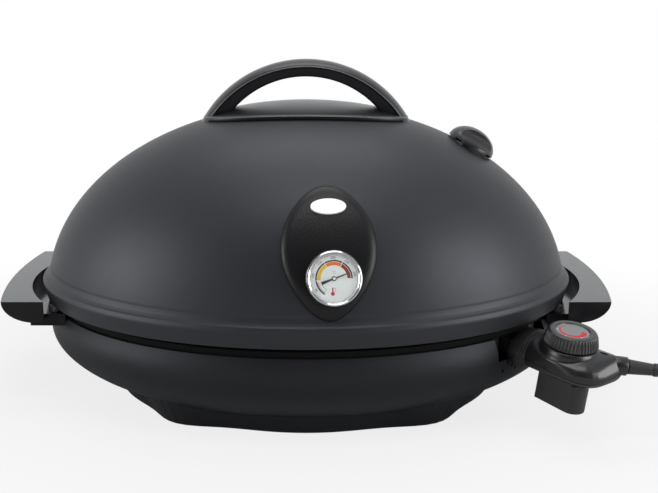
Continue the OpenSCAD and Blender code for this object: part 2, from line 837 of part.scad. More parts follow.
// The head's outer form: an arch at the neck, a round belly and a shoulder that runs out
// into the tail
module head_form() {
    difference() {
        hull($fn = 32) {
            translate([-6, 0, 0]) rotate([90, 0, 90]) linear_extrude(1) intersection() {
                translate([0, -12]) circle(25);
                translate([-23, -12]) square([46, 25]);
            }
            // deck under the dial, with a rounded edge
            translate([dial_x, 0, 0]) cylinder(r = 28.5, h = deck_z - 6);
            translate([dial_x, 0, 0]) cylinder(r = 26.5, h = deck_z - 2);
            translate([dial_x, 0, 0]) cylinder(r = 24, h = deck_z);
            // belly, shoulder and tail
            translate([44, 3, -0.5]) scale([1, 1, 0.54]) sphere(30);
            translate([61, 14, 2]) scale([1, 1, 0.85]) sphere(15.5);
            translate([tail_at.x - 5, tail_at.y - 4, tail_at.z - 0.5]) sphere(9.5);
        }
        // flat end against the neck
        rotate([0, -droop, 0]) translate([-60, -60, -60]) cube([60, 120, 120]);
    }
}

module at_tail() {
    translate(tail_at) rotate([0, 0, tail_turn]) rotate([0, 90, 0]) children();
}

module tail_collar() {
    at_tail() translate([0, 0, -6]) cylinder(d = 17, h = 6 + tail_end);
}

module head_bores() {
    translate([dial_x, 0, -3.5]) cylinder(d = 6.1, h = 40);
    at_tail() translate([0, 0, -2]) cylinder(d = 11, h = 20);
}

module head_top() color(plastic_black) {
    at_head() difference() {
        union() {
            head_form();
            translate([dial_x, 0, deck_z - 2]) cylinder(d = 44, h = 2.8);
            tail_collar();
        }
        translate([-50, -100, seam_z - 100]) cube([200, 200, 100]);
        head_bores();
        translate([54, 10, 5]) rotate([0, 0, 12]) cube([8, 3.4, 12]);
        for (p = head_screw_spots) translate([p.x, p.y, -30]) cylinder(d = 2.4, h = 32);
    }
}

module head_bottom() color(plastic_black) {
    at_head() {
        difference() {
            head_form();
            translate([-50, -100, seam_z - 0.6]) cube([200, 200, 100]);
            for (p = head_screw_spots) translate([p.x, p.y, -30]) {
                cylinder(d = 3.2, h = 30);
                cylinder(d = 5.4, h = 18);
            }
        }
        // lip that the upper shell sits on
        translate([8, -14, seam_z - 1]) cube([16, 28, 1]);
        translate([dial_x + 6, 0, seam_z - 1]) cylinder(r = 20, h = 1);
    }
}

module head_screws() color(steel) {
    at_head() for (p = head_screw_spots) translate([p.x, p.y, -14]) {
        cylinder(d = 5, h = 2);
        cylinder(d = 2.4, h = 15);
    }
}

leg_low = -44;

module guard_leg() color([0.12, 0.12, 0.13]) {
    at_head() difference() {
        translate([0, 0, leg_low]) linear_extrude(33) union() {
            translate([10, -11]) square([33, 24]);
            translate([43, 1]) circle(12);
        }
        head_form();
    }
}

module pilot_lamp() color([0.8, 0.25, 0.1]) {
    at_head() translate([54, 10, 5]) rotate([0, 0, 12]) cube([8, 3.4, 4]);
}

module cord_boot() color([0.12, 0.12, 0.13]) {
    at_head() at_tail() difference() {
        union() {
            translate([0, 0, -1]) cylinder(d = 10.8, h = tail_end + 2);
            translate([0, 0, tail_end + 1]) cylinder(d1 = 13.6, d2 = 10.4, h = 24);
            translate([0, 0, tail_end + 23.6]) cylinder(d = 12, h = 3.6);
        }
        translate([0, 0, 24]) cylinder(d = lead_d, h = 40);
    }
}

dial_foot = deck_z + 1.3;
dial_rise = 12;

module dial_knob() color(plastic_black) {
    top = 43 / 50;
    rib_depth = 1.1;
    at_head() translate([dial_x, 0, dial_foot]) difference() {
        linear_extrude(dial_rise, scale = top) polygon([for (i = [0:dial_ribs * 4 - 1])
            (dial_d / 2 - (i % 4 < 2 ? 0 : rib_depth)) * [cos(i * 90 / dial_ribs), sin(i * 90 / dial_ribs)]]);
        translate([0, 0, dial_rise - 2]) cylinder(d = 30.4, h = 5);
        translate([0, 0, -1]) cylinder(d = 6, h = 9);
    }
}

module dial_cap() color([0.3, 0.3, 0.31]) {
    at_head() translate([dial_x, 0, dial_foot + dial_rise - 2]) cylinder(d = 30, h = 1.2);
}

module dial_shaft() color(steel) {
    at_head() translate([dial_x, 0, -3]) cylinder(d = 6, h = dial_foot + 8 + 3);
}

// ---- mains lead ----
// It leaves the boot, comes down to the table and runs into the coil, and its end leaves the
// coil's top layer for the plug.
coil_at = [440, -110];
coil_h = 2 * lead_d;
coil_in = coil_d / 2 - 1.5 * lead_d;
coil_out = coil_d / 2 + 1.5 * lead_d;
route = [[306, -158, 73], [316, -159, 72], [326, -160, 71], [336, -160, 68], [346, -160, 62],
    [354, -160, 53], [361, -160, 43], [368, -160, 32], [375, -160, 22], [384, -160, 13],
    [395, -159, 7], [408, -159, 4], [426, -159, 4]];
plug_route = [[488, -100, 11], [488, -86, 12], [488, -75, 15], [488, -64, 18], [488, -54, 19]];

function frame_of(p, i) =
    let (d = unit(p[min(i + 1, len(p) - 1)] - p[max(i - 1, 0)]), s = unit(cross(d, [0.01, 0.02, 1])))
    [s, cross(s, d)];

module swept_tube(p, d, sides) {
    n = len(p);
    rings = [for (i = [0:n - 1], k = [0:sides - 1])
        let (f = frame_of(p, i), t = 360 * k / sides) p[i] + d / 2 * (cos(t) * f[0] + sin(t) * f[1])];
    walls = [for (i = [0:n - 2], k = [0:sides - 1])
        [i * sides + k, i * sides + (k + 1) % sides, (i + 1) * sides + (k + 1) % sides, (i + 1) * sides + k]];
    polyhedron(rings, concat([[for (k = [sides - 1:-1:0]) k]], walls,
        [[for (k = [0:sides - 1]) (n - 1) * sides + k]]));
}

module power_cord() color(rubber_black) swept_tube(route, lead_d, 10);

module cord_coil() color(rubber_black) {
    translate([coil_at.x, coil_at.y, 0]) rotate_extrude($fn = 72)
        translate([coil_in, 0]) square([coil_out - coil_in, coil_h]);
}

module plug_lead() color(rubber_black) swept_tube(plug_route, lead_d, 10);

module cord_tie() color(rubber_black) {
    translate([coil_at.x, coil_at.y, 0]) rotate(80) rotate_extrude(angle = 20) difference() {
        translate([coil_in - 1.2, 0]) square([coil_out - coil_in + 2.4, coil_h + 1.2]);
        translate([coil_in, -1]) square([coil_out - coil_in, coil_h + 1]);
    }
}

plug_end_at = [488, -56, 19];
plug_r = 19;

module mains_plug() color(plastic_black) {
    translate(plug_end_at) rotate([-90, 0, 0]) rotate_extrude($fn = 64) polygon([[0, 0], [6, 0],
        [7.5, 22], [12, 26], [plug_r, 30], [plug_r, 52], [plug_r - 1.5, 54], [0, 54]]);
}

module plug_pins() color(steel) {
    translate(plug_end_at) for (x = [-9.5, 9.5]) translate([x, 54, 0]) rotate([-90, 0, 0]) {
        cylinder(d = 4.8, h = 17);
        translate([0, 0, 17]) sphere(d = 4.8);
    }
}

base_bowl();
foot_ring();
rubber_feet();
foot_screws();
heat_reflector();
drip_tray();
grill_plate();
heating_element();
terminal_block();
socket_plate();
side_handle_left();
side_handle_right();
handle_screws();
lid_rests();
hinge_bracket();
hinge_pin();
bracket_rivets();
lid_shell();
hinge_leaf();
leaf_rivets();
lid_handle();
handle_bolts();
badge_housing();
name_plate();
badge_screws();
thermometer_case();
thermometer_face();
thermometer_glass();
thermometer_stem();
thermometer_nut();
thermometer_needle();
vent_seat();
vent_knob();
vent_shaft_pin();
vent_shutter();
plug_neck();
contact_sleeves();
temperature_probe();
head_top();
head_bottom();
head_screws();
guard_leg();
pilot_lamp();
cord_boot();
dial_knob();
dial_cap();
dial_shaft();
power_cord();
cord_coil();
cord_tie();
plug_lead();
mains_plug();
plug_pins();
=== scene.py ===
import math

import bmesh
import bpy
from mathutils import Matrix, Vector


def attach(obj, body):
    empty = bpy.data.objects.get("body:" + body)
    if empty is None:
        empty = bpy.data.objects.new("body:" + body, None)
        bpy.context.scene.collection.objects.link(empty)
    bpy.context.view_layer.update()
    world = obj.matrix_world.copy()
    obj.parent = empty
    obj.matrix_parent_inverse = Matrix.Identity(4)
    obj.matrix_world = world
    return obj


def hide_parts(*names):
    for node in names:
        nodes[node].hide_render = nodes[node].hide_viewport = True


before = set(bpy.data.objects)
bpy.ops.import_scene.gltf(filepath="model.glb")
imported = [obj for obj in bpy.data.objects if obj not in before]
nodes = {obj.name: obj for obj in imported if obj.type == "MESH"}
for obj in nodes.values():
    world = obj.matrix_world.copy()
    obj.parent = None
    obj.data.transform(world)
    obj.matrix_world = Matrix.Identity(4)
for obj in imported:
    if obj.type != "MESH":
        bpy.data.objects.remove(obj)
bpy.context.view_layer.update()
scene = bpy.context.scene
scene.view_settings.view_transform = "Standard"

# ---- Camera ---------------------------------------------------------------------------
# The grill is seen from the front and a little above, from just over a metre away, with
# the frame set slightly to its right so that the thermostat is in view.
eye = (0, -1.0574, 0.4450)
tilt = 74
camera = bpy.data.objects.new("camera", bpy.data.cameras.new("camera"))
camera.location = eye
camera.rotation_euler = (math.radians(tilt), 0, 0)
camera.data.lens = 59.28
camera.data.sensor_width = 36
camera.data.shift_x = 0.035
scene.collection.objects.link(camera)
scene.camera = camera


# ---- Table top and light --------------------------------------------------------------
# A pale table top runs on without an edge under a plain white surround, whose mirror
# image is dimmer in front. Soft boxes stand at both sides, overhead and high in front.
class Wire:
    """A shader socket. Its operators add the Math nodes that work them out."""

    def __init__(self, tree, socket):
        self.tree = tree
        self.socket = socket

    def math(self, operation, *values):
        node = self.tree.nodes.new("ShaderNodeMath")
        node.operation = operation
        for slot, value in zip(node.inputs, values):
            connect(self.tree, slot, value)
        return Wire(self.tree, node.outputs[0])

    def vector_math(self, operation, value=None, out=0):
        node = self.tree.nodes.new("ShaderNodeVectorMath")
        node.operation = operation
        connect(self.tree, node.inputs[0], self)
        if value is not None:
            connect(self.tree, node.inputs[1], value)
        return Wire(self.tree, node.outputs[out])

    def __add__(self, other):
        return self.math("ADD", self, other)

    def __radd__(self, other):
        return self.math("ADD", other, self)

    def __sub__(self, other):
        return self.math("SUBTRACT", self, other)

    def __rsub__(self, other):
        return self.math("SUBTRACT", other, self)

    def __mul__(self, other):
        return self.math("MULTIPLY", self, other)

    def __rmul__(self, other):
        return self.math("MULTIPLY", other, self)

    def dot(self, direction):
        return self.vector_math("DOT_PRODUCT", tuple(direction), out=1)


def connect(tree, socket, value):
    """Links a wire to a socket, or sets the socket to a value."""
    if isinstance(value, Wire):
        tree.links.new(value.socket, socket)
    elif hasattr(socket.default_value, "__len__") and not hasattr(value, "__len__"):
        socket.default_value = [value] * len(socket.default_value)
    elif hasattr(socket.default_value, "__len__") and len(value) < len(socket.default_value):
        socket.default_value = (*value, 1)
    else:
        socket.default_value = value


class Recipe:
    """The node tree of a finish, built one node at a time."""

    def __init__(self, tree):
        self.tree = tree
        self.tree.nodes.clear()

    def node(self, kind, settings=None, sockets=None, out=0):
        node = self.tree.nodes.new(kind)
        for name, value in (settings or {}).items():
            if name == "stops":
                for i, (place, colour) in enumerate(value):
                    stops = node.color_ramp.elements
                    stop = stops[i] if i < len(stops) else stops.new(place)
                    stop.position = place
                    stop.color = (*colour, 1)
            else:
                setattr(node, name, value)
        for name, value in (sockets or {}).items():
            connect(self.tree, node.inputs[name], value)
        return Wire(self.tree, node.outputs[out]) if node.outputs else node

    def place(self):
        """Position on the piece, in metres, which stays with the piece when it moves."""
        return self.node("ShaderNodeTexCoord", out="Object")

    def facing(self, way):
        """How far the piece's surface turns to a direction: 1 when it faces that way."""
        return self.node("ShaderNodeTexCoord", out="Normal").dot(way)

    def noise(self, size, detail=3, rough=0.5, stretch=(1, 1, 1)):
        """Soft noise from 0 to 1 whose grains are about that size, in metres."""
        place = self.place().vector_math("MULTIPLY", stretch)
        return self.node("ShaderNodeTexNoise", {}, {"Vector": place, "Scale": 1 / size,
                         "Detail": detail, "Roughness": rough})

    def cells(self, size, smooth=0.6):
        """Rounded cells about that size, in metres: 0 in their middles, 1 between them."""
        return self.node("ShaderNodeTexVoronoi", {"feature": "SMOOTH_F1"},
                         {"Vector": self.place(), "Scale": 1 / size, "Smoothness": smooth})

    def mix(self, share, a, b):
        """Colour a, going over to colour b as the share goes from 0 to 1."""
        node = self.tree.nodes.new("ShaderNodeMix")
        node.data_type = "RGBA"
        connect(self.tree, node.inputs[0], share)
        connect(self.tree, node.inputs[6], a)
        connect(self.tree, node.inputs[7], b)
        return Wire(self.tree, node.outputs[2])

    def ramp(self, value, *stops):
        return self.node("ShaderNodeValToRGB", {"stops": stops}, {"Fac": value})

    def spread(self, value, low, high):
        """A value from 0 to 1, taken to the range from low to high."""
        return value * (high - low) + low

    def ease(self, value, low, high):
        """0 below the low value, 1 above the high one, with a soft step between."""
        return self.node("ShaderNodeMapRange", {"interpolation_type": "SMOOTHSTEP"},
                         {"Value": value, "From Min": low, "From Max": high})

    def blend(self, share, a, b):
        """Shader a, going over to shader b as the share goes from 0 to 1."""
        node = self.tree.nodes.new("ShaderNodeMixShader")
        for slot, value in zip(node.inputs, (share, a, b)):
            connect(self.tree, slot, value)
        return Wire(self.tree, node.outputs[0])

    def ray(self, kind):
        return self.node("ShaderNodeLightPath", out=f"Is {kind} Ray")


def finish(name, colour, roughness, bump=None, depth=0.0001, edge=0.0006, **constants):
    """A material. A function given for colour, roughness or bump gets the recipe; edge is
    the radius that sharp edges are broken to, and the constants are the shader's own."""
    material = bpy.data.materials.new(name)
    material.use_nodes = True
    recipe = Recipe(material.node_tree)
    sockets = {"Base Color": colour(recipe) if callable(colour) else colour}
    sockets["Roughness"] = roughness(recipe) if callable(roughness) else roughness
    surface = recipe.node("ShaderNodeBevel", {"samples": 4}, {"Radius": edge}) if edge else None
    if bump:
        inputs = {"Height": bump(recipe), "Distance": depth}
        if surface:
            inputs["Normal"] = surface
        surface = recipe.node("ShaderNodeBump", {}, inputs)
    if surface:
        sockets["Normal"] = surface
    for key, value in constants.items():
        sockets[key.replace("_", " ")] = value(recipe) if callable(value) else value
    shader = recipe.node("ShaderNodeBsdfPrincipled", {}, sockets)
    recipe.node("ShaderNodeOutputMaterial", {}, {"Surface": shader})
    return material


table_white = 0.55
table_size = 40
near_glow = 0.8
plain_from = 0.32
plain_by = 0.75
mirror_from = 0.4
mirror_by = 1.25
bpy.ops.mesh.primitive_plane_add(size=table_size)
table = bpy.context.object
table.name = "table_top"
paper = bpy.data.materials.new("table_paper")
paper.use_nodes = True
sheet = Recipe(paper.node_tree)
lit = sheet.node("ShaderNodeBsdfDiffuse", {}, {"Color": (table_white,) * 3})
bright = sheet.node("ShaderNodeEmission", {}, {"Color": (1, 1, 1), "Strength": 1.0})
# near the grill the paper keeps its shadow; further off it goes over to plain white,
# which gloss, metal and glass show from a little further out
away = sheet.place().vector_math("MULTIPLY", (1, 1.4, 0)).vector_math("LENGTH", out=1)
glow = sheet.spread(sheet.ease(away, plain_from, plain_by), near_glow, 1)
mirrored_too = sheet.ray("Glossy") + sheet.ray("Transmission")
mirrored_too = mirrored_too * sheet.ease(away, mirror_from, mirror_by)
white_share = sheet.ray("Camera") * glow + mirrored_too
whole = sheet.blend(white_share.math("MINIMUM", white_share, 1), lit, bright)
sheet.node("ShaderNodeOutputMaterial", {}, {"Surface": whole})
table.data.materials.append(paper)

front_mirror = 0.1
room_light = 0.25
world = bpy.data.worlds.new("surround")
scene.world = world
world.use_nodes = True
room = Recipe(world.node_tree)
looking = room.node("ShaderNodeTexCoord", out="Generated")
in_front = room.ease(looking.dot((0, -1, 0)), -0.2, 0.85)
shown = room.spread(in_front, 1.0, front_mirror)
dim = room.node("ShaderNodeBackground", {}, {"Color": (0.93, 0.96, 1.0), "Strength": room_light})
mirrored = room.node("ShaderNodeBackground", {}, {"Color": (0.96, 0.98, 1.0), "Strength": shown})
white = room.node("ShaderNodeBackground", {}, {"Color": (1, 1, 1), "Strength": 1.0})
seen = room.blend(room.ray("Glossy"), dim, mirrored)
plain = room.ray("Camera") + room.ray("Transmission")
seen = room.blend(plain.math("MINIMUM", plain, 1), seen, white)
room.node("ShaderNodeOutputWorld", {}, {"Surface": seen})


aim_height = 0.2


def soft_box(name, towards, distance, elevation, size, watts):
    """A lamp aimed at the grill from an angle to the right of its front, in degrees."""
    lamp = bpy.data.objects.new(name, bpy.data.lights.new(name, "AREA"))
    lamp.data.shape = "RECTANGLE"
    lamp.data.size = size[0]
    lamp.data.size_y = size[1]
    lamp.data.energy = watts
    side = math.radians(towards)
    lift = math.radians(elevation)
    level = math.cos(lift)
    direction = Vector((math.sin(side) * level, -math.cos(side) * level, math.sin(lift)))
    lamp.location = Vector((0, 0, aim_height)) + direction * distance
    lamp.rotation_euler = direction.to_track_quat("Z", "Y").to_euler()
    scene.collection.objects.link(lamp)


soft_box("left_box", -66, 1.5, 11, (0.9, 0.9), 13)
soft_box("right_box", 62, 1.5, 11, (0.8, 0.9), 16)
soft_box("top_box", 180, 1.5, 78, (1.2, 0.7), 9)
soft_box("front_box", 6, 1.6, 64, (0.9, 0.5), 8)

# ---- Mains lead -----------------------------------------------------------------------
# A round two-core lead in black rubber. It leaves the thermostat's boot, comes down to
# the table and runs into a coil of its spare length; its end runs out to the plug.
lead_d = 0.0075
coil_at = Vector((0.440, -0.110, 0))
columns = (0.0485, 0.041, 0.0335)
layers = (0.00375, 0.01125)
points_per_turn = 16
turns = 5.25


def mm(*values):
    return Vector(values) / 1000


out_of_boot = [mm(*p) for p in ((311, -158.6, 72.5), (326, -160, 71), (336, -160, 68), (346, -160, 62),
               (354, -160, 53), (361, -160, 43), (368, -160, 32), (375, -160, 22), (384, -160, 13),
               (395, -159, 7), (408, -159, 4), (426, -159, 4))]
to_plug = [mm(*p) for p in ((488, -100, 11), (488, -86, 12), (488, -75, 15), (488, -64, 18),
                            (488, -54, 19))]


def polar(radius, angle, height=0):
    """Point at a radius and an angle, in radians, about Z."""
    return Vector((radius * math.cos(angle), radius * math.sin(angle), height))


def coil_point(turn):
    """A point of the coil: in along the bottom layer, up, and out along the top one."""
    slots = [(r, layers[0]) for r in columns] + [(r, layers[1]) for r in reversed(columns)]
    shift = 0.15
    climb = 0.0032
    slot = int(turn)
    radius, height = slots[slot]
    step = turn - slot - (1 - shift)
    if step > 0 and slot + 1 < len(slots):
        share = (1 - math.cos(math.pi * step / shift)) / 2
        radius += share * (slots[slot + 1][0] - radius)
        height += share * (slots[slot + 1][1] - height)
        if slot == 2:
            radius -= climb * math.sin(math.pi * share)
    angle = 2 * math.pi * (turn - 0.25)
    return coil_at + polar(radius, angle, height)


coil = [coil_point(i / points_per_turn) for i in range(int(turns * points_per_turn) + 1)]
lead_path = out_of_boot + coil + to_plug


def bezier(name, points, radius, sides=4, steps=4):
    """A tube on one open curve that runs smoothly through the points."""
    line = bpy.data.curves.new(name, "CURVE")
    line.dimensions = "3D"
    line.resolution_u = steps
    line.bevel_depth = radius
    line.bevel_resolution = sides
    line.use_fill_caps = True
    spline = line.splines.new("BEZIER")
    spline.bezier_points.add(len(points) - 1)
    for knot, point in zip(spline.bezier_points, points):
        knot.co = point
        knot.handle_left_type = "AUTO"
        knot.handle_right_type = "AUTO"
    piece = bpy.data.objects.new(name, line)
    scene.collection.objects.link(piece)
    return piece


def put_on(material, *pieces):
    """Gives pieces, or CAD nodes by name, that finish."""
    for piece in pieces:
        piece = nodes[piece] if isinstance(piece, str) else piece
        if not piece.material_slots:
            piece.data.materials.append(material)
        for slot in piece.material_slots:
            slot.material = material


def fit(piece, material, body, slot, *stands_for):
    """Puts a piece on its body, in its finish, in place of the CAD nodes that it stands for."""
    put_on(material, piece)
    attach(piece, body)
    if stands_for:
        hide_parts(*stands_for)


def mottled(size, low, high):
    """A colour that goes between two tones in patches of about that size."""
    return lambda recipe: recipe.mix(recipe.noise(size), low, high)


def uneven(size, low, high, stretch=(1, 1, 1)):
    """A roughness that goes between two values in patches of about that size."""
    return lambda recipe: recipe.spread(recipe.noise(size, stretch=stretch), low, high)


def grain(size, detail=3, stretch=(1, 1, 1)):
    """A surface height with grains of about that size."""
    return lambda recipe: recipe.noise(size, detail, stretch=stretch)


lead_rubber = finish("lead_rubber", mottled(0.006, (0.009, 0.009, 0.0095), (0.014, 0.014, 0.015)),
                     uneven(0.004, 0.36, 0.5), grain(0.0006),
                     depth=0.00003, edge=0)
lead = bezier("mains_lead", lead_path, lead_d / 2)
fit(lead, lead_rubber, "thermostat", "cord_black", "power_cord", "cord_coil", "plug_lead")

# the tie is a woven strap; the plug is moulded on, with a leathery grain and nickelled pins
def weave(recipe):
    return recipe.noise(0.0005, stretch=(1, 1, 0.3)) * recipe.noise(0.0011, stretch=(0.3, 0.3, 1))


strap_weave = finish("strap_weave", (0.012, 0.012, 0.013), 0.8, weave, depth=0.0003, edge=0.0005)
plug_moulding = finish("plug_moulding", (0.012, 0.012, 0.013), uneven(0.01, 0.4, 0.52),
                       lambda r: r.cells(0.0009), depth=0.00006, edge=0.0012)
nickel = finish("nickelled_pins", (0.66, 0.64, 0.6), uneven(0.003, 0.16, 0.3),
                edge=0.0004, Metallic=1.0)
put_on(strap_weave, "cord_tie")
put_on(plug_moulding, "mains_plug")
put_on(nickel, "plug_pins")

# ---- Base and foot --------------------------------------------------------------------
# The bowl is a moulded oval with its foot ring screwed under it, both in heat-proof
# black with a matt and very fine grain.
def baked_enamel(low, high):
    """A black that goes between two tones in broad patches, with fine pale specks."""
    def tone(recipe):
        speck = recipe.ease(recipe.noise(0.0011, detail=1), 0.66, 0.78)
        even = recipe.mix(recipe.noise(0.05), low, high)
        return recipe.mix(speck * 0.3, even, (0.022, 0.022, 0.024))
    return tone


bowl_black = finish("bowl_black", baked_enamel((0.0062, 0.0064, 0.0071), (0.0085, 0.0088, 0.0097)),
                    uneven(0.03, 0.46, 0.54),
                    grain(0.0009, detail=2), depth=0.00003, edge=0.0008, Specular_IOR_Level=0.26,
                    Specular_Tint=(0.86, 0.91, 1.0))
put_on(bowl_black, "base_bowl", "foot_ring")

# ---- Rubber feet and foot screws ------------------------------------------------------
# Soft black pads pressed into the foot ring's corners, each over a zinc-plated screw. The
# other screws, bolts and rivets are plated alike, save the control's, which are blacked.
foot_rubber = finish("foot_rubber", (0.013, 0.013, 0.013), uneven(0.004, 0.62, 0.78),
                     grain(0.0007), depth=0.00008, edge=0.0007)


def zinc(recipe):
    return recipe.mix(recipe.noise(0.003), (0.58, 0.59, 0.6), (0.68, 0.67, 0.63))


zinc_plated = finish("zinc_plated", zinc, uneven(0.0015, 0.24, 0.42),
                     grain(0.0008), depth=0.00002, edge=0.0003, Metallic=1.0)
put_on(foot_rubber, "rubber_feet")
put_on(zinc_plated, "foot_screws", "handle_screws", "bracket_rivets", "leaf_rivets", "handle_bolts",
       "badge_screws", "thermometer_nut", "vent_shaft_pin", "dial_shaft")
black_oxide = finish("black_oxide", (0.012, 0.012, 0.013), uneven(0.002, 0.5, 0.62), edge=0.0003)
put_on(black_oxide, "head_screws")

# ---- Heat reflector and drip tray -----------------------------------------------------
# Rolled aluminium sheet throws the heat up at the plate; the deep-drawn tray under its
# chute catches the fat. Both are bare, with the marks of rolling and of wiping.
def rolled(recipe, low, high):
    lines = recipe.noise(0.002, detail=4, stretch=(0.04, 1, 1))
    return recipe.spread(lines, low, high)


def heat_toned(recipe):
    straw = recipe.ease(recipe.noise(0.09), 0.52, 0.75)
    return recipe.mix(straw, (0.77, 0.77, 0.78), (0.66, 0.62, 0.55))


reflector_sheet = finish("reflector_sheet", heat_toned, lambda r: rolled(r, 0.16, 0.36),
                         grain(0.002, stretch=(0.04, 1, 1)), depth=0.00003, Metallic=1.0)
tray_sheet = finish("tray_sheet", (0.68, 0.68, 0.7), lambda r: rolled(r, 0.3, 0.5),
                    grain(0.004), depth=0.00004, edge=0.0015, Metallic=1.0)
put_on(reflector_sheet, "heat_reflector")
put_on(tray_sheet, "drip_tray")

# ---- Heating element and its terminals ------------------------------------------------
# A steel tube filled with magnesia, bent into one loop under the plate and darkened by
# heat. Its cold ends stand in a glazed ceramic block behind the moulded socket plate.
def tempered(recipe):
    return recipe.ramp(recipe.noise(0.03), (0.3, (0.10, 0.095, 0.09)), (0.5, (0.17, 0.13, 0.10)),
                       (0.62, (0.12, 0.10, 0.13)), (0.75, (0.20, 0.19, 0.18)))


element_tube = finish("element_tube", tempered, uneven(0.008, 0.34, 0.6),
                      grain(0.0006), depth=0.00004, edge=0, Metallic=0.85)


def glaze(recipe):
    pores = recipe.ease(recipe.noise(0.0009, detail=1), 0.7, 0.8)
    return recipe.mix(pores * 0.5, (0.78, 0.76, 0.69), (0.5, 0.46, 0.4))


ceramic = finish("glazed_ceramic", glaze, uneven(0.002, 0.2, 0.36),
                 grain(0.0009), depth=0.00005, Coat_Roughness=0.1)
socket_moulding = finish("socket_moulding", mottled(0.01, (0.014, 0.014, 0.015), (0.02, 0.02, 0.021)),
                         uneven(0.004, 0.45, 0.58), lambda r: r.cells(0.0008),
                         depth=0.00004)
put_on(element_tube, "heating_element")
put_on(ceramic, "terminal_block")
put_on(socket_moulding, "socket_plate")

# ---- Grill plate ----------------------------------------------------------------------
# Die-cast aluminium with a ribbed top, sprayed with a non-stick coat whose fine pale
# specks show when the lid is open. Round the plate's rim, where the lid's shadow falls,
# the coat is painted near-black as shade and made fully rough.
plate_oval = 0.697


def nonstick(recipe):
    specks = recipe.ease(recipe.noise(0.0012, detail=2), 0.64, 0.7)
    ground = recipe.mix(recipe.noise(0.06), (0.014, 0.014, 0.0145), (0.02, 0.02, 0.021))
    coat = recipe.mix(specks * 0.7, ground, (0.075, 0.075, 0.08))
    # painted shade: the coat goes near-black towards the plate's outer rim, where the lid's shadow falls
    return recipe.mix(painted_rim_shade(recipe), coat, (0.0006, 0.0006, 0.0006))


def painted_rim_shade(recipe):
    """How far the plate's outer rim is painted near-black and fully rough as the lid's shadow: from 0 inside
    it to 1 at its edge.
    """
    out = recipe.place().vector_math("MULTIPLY", (1, 1 / plate_oval, 0)).vector_math("LENGTH", out=1)
    return recipe.ease(out, 0.2395, 0.2425)


def coat_roughness(recipe):
    return recipe.spread(recipe.noise(0.004), 0.3, 0.46) * (1 - painted_rim_shade(recipe)) + painted_rim_shade(recipe)


plate_coat = finish("plate_coat", nonstick, coat_roughness,
                    grain(0.0012, detail=2), depth=0.00005, edge=0.0012, Specular_IOR_Level=0.3)
put_on(plate_coat, "grill_plate")

# ---- Side handles ---------------------------------------------------------------------
# Phenolic mouldings, flat and glossy on top, each screwed through the base's wall. Dark
# silicone pads on their bridges carry the lid.
def glossy_on_top(recipe):
    return recipe.spread(recipe.ease(recipe.facing((0, 0, 1)), 0.15, 0.7), 0.16, 1)


phenolic = finish("glossy_phenolic", mottled(0.02, (0.0075, 0.0075, 0.0085), (0.011, 0.011, 0.012)),
                  uneven(0.015, 0.3, 0.4), grain(0.012, detail=2),
                  depth=0.00006, edge=0.0011, Specular_IOR_Level=0.04,
                  Coat_Roughness=0.13, Coat_IOR=1.55, Coat_Weight=glossy_on_top)
silicone = finish("grey_silicone", mottled(0.004, (0.10, 0.10, 0.11), (0.14, 0.14, 0.15)),
                  uneven(0.002, 0.34, 0.5), edge=0.0006)
put_on(phenolic, "side_handle_left", "side_handle_right")
put_on(silicone, "lid_rests")

# ---- Hinge ----------------------------------------------------------------------------
# A bracket riveted to the base, a leaf riveted inside the lid's skirt, and a polished
# pin through both; the plates are coated black.
hinge_coat = finish("hinge_coat", mottled(0.004, (0.012, 0.012, 0.013), (0.018, 0.018, 0.019)),
                    uneven(0.003, 0.42, 0.56), grain(0.001),
                    depth=0.00004, edge=0.0005)
pin_polish = finish("polished_pin", (0.68, 0.68, 0.69), uneven(0.002, 0.1, 0.24, (6, 1, 1)),
                    edge=0.0005, Metallic=1.0)
put_on(hinge_coat, "hinge_bracket", "hinge_leaf")
put_on(pin_polish, "hinge_pin")

# ---- Lid ------------------------------------------------------------------------------
# Spun aluminium dome whose rim flares out into a ridged skirt, sprayed inside and out
# with the same matt, finely grained black.
oval = 0.697
dome_a = 0.2603
dome_h = 0.1852
dome_z = 0.100
lid_black = finish("lid_black", baked_enamel((0.0108, 0.0111, 0.0124), (0.0138, 0.0142, 0.0158)),
                   uneven(0.03, 0.44, 0.5),
                   grain(0.0009, detail=2), depth=0.00003, edge=0, Specular_IOR_Level=0.38,
                   Specular_Tint=(0.86, 0.91, 1.0))
put_on(lid_black, "lid_shell")


def dome_height(x, y, proud=0):
    """Height of the dome, or of a skin that stands so far off it, over a spot of the plan."""
    a = dome_a + proud
    inside = 1 - (x / a) ** 2 - (y / a / oval) ** 2
    return dome_z + (dome_h + proud) * math.sqrt(max(inside, 0))


def on_front(x, z):
    """Point of the dome's front at a height."""
    inside = 1 - (x / dome_a) ** 2 - ((z - dome_z) / dome_h) ** 2
    return Vector((x, -dome_a * oval * math.sqrt(inside), z))


def on_dome(point):
    """Frame at a point of the dome: Z leaves the lid, X runs down the slope."""
    normal = Vector((point.x / dome_a ** 2, point.y / (dome_a * oval) ** 2,
                     (point.z - dome_z) / dome_h ** 2)).normalized()
    return (Matrix.Translation(point) @ Matrix.Rotation(math.atan2(normal.y, normal.x), 4, "Z")
            @ Matrix.Rotation(math.acos(normal.z), 4, "Y"))


# ---- Lid handle -----------------------------------------------------------------------
# A satin phenolic arch on a saddle that follows the dome, in one moulding, held by two
# bolts from inside. A fine lip runs round the arch's outer band and the saddle's edge;
# it is coloured pale grey as a painted highlight line on the black moulding.
arch_r = 0.11696
arch_z = 0.2136
opening_r = 0.0933
opening_z = 0.2218
grip_half = 0.015
crown_half = grip_half * 0.97
crown_drop = 0.0072 * 0.62
crown_end = 0.92
saddle = (0.100, 0.048)
saddle_t = 0.0045
sunk = -0.0006


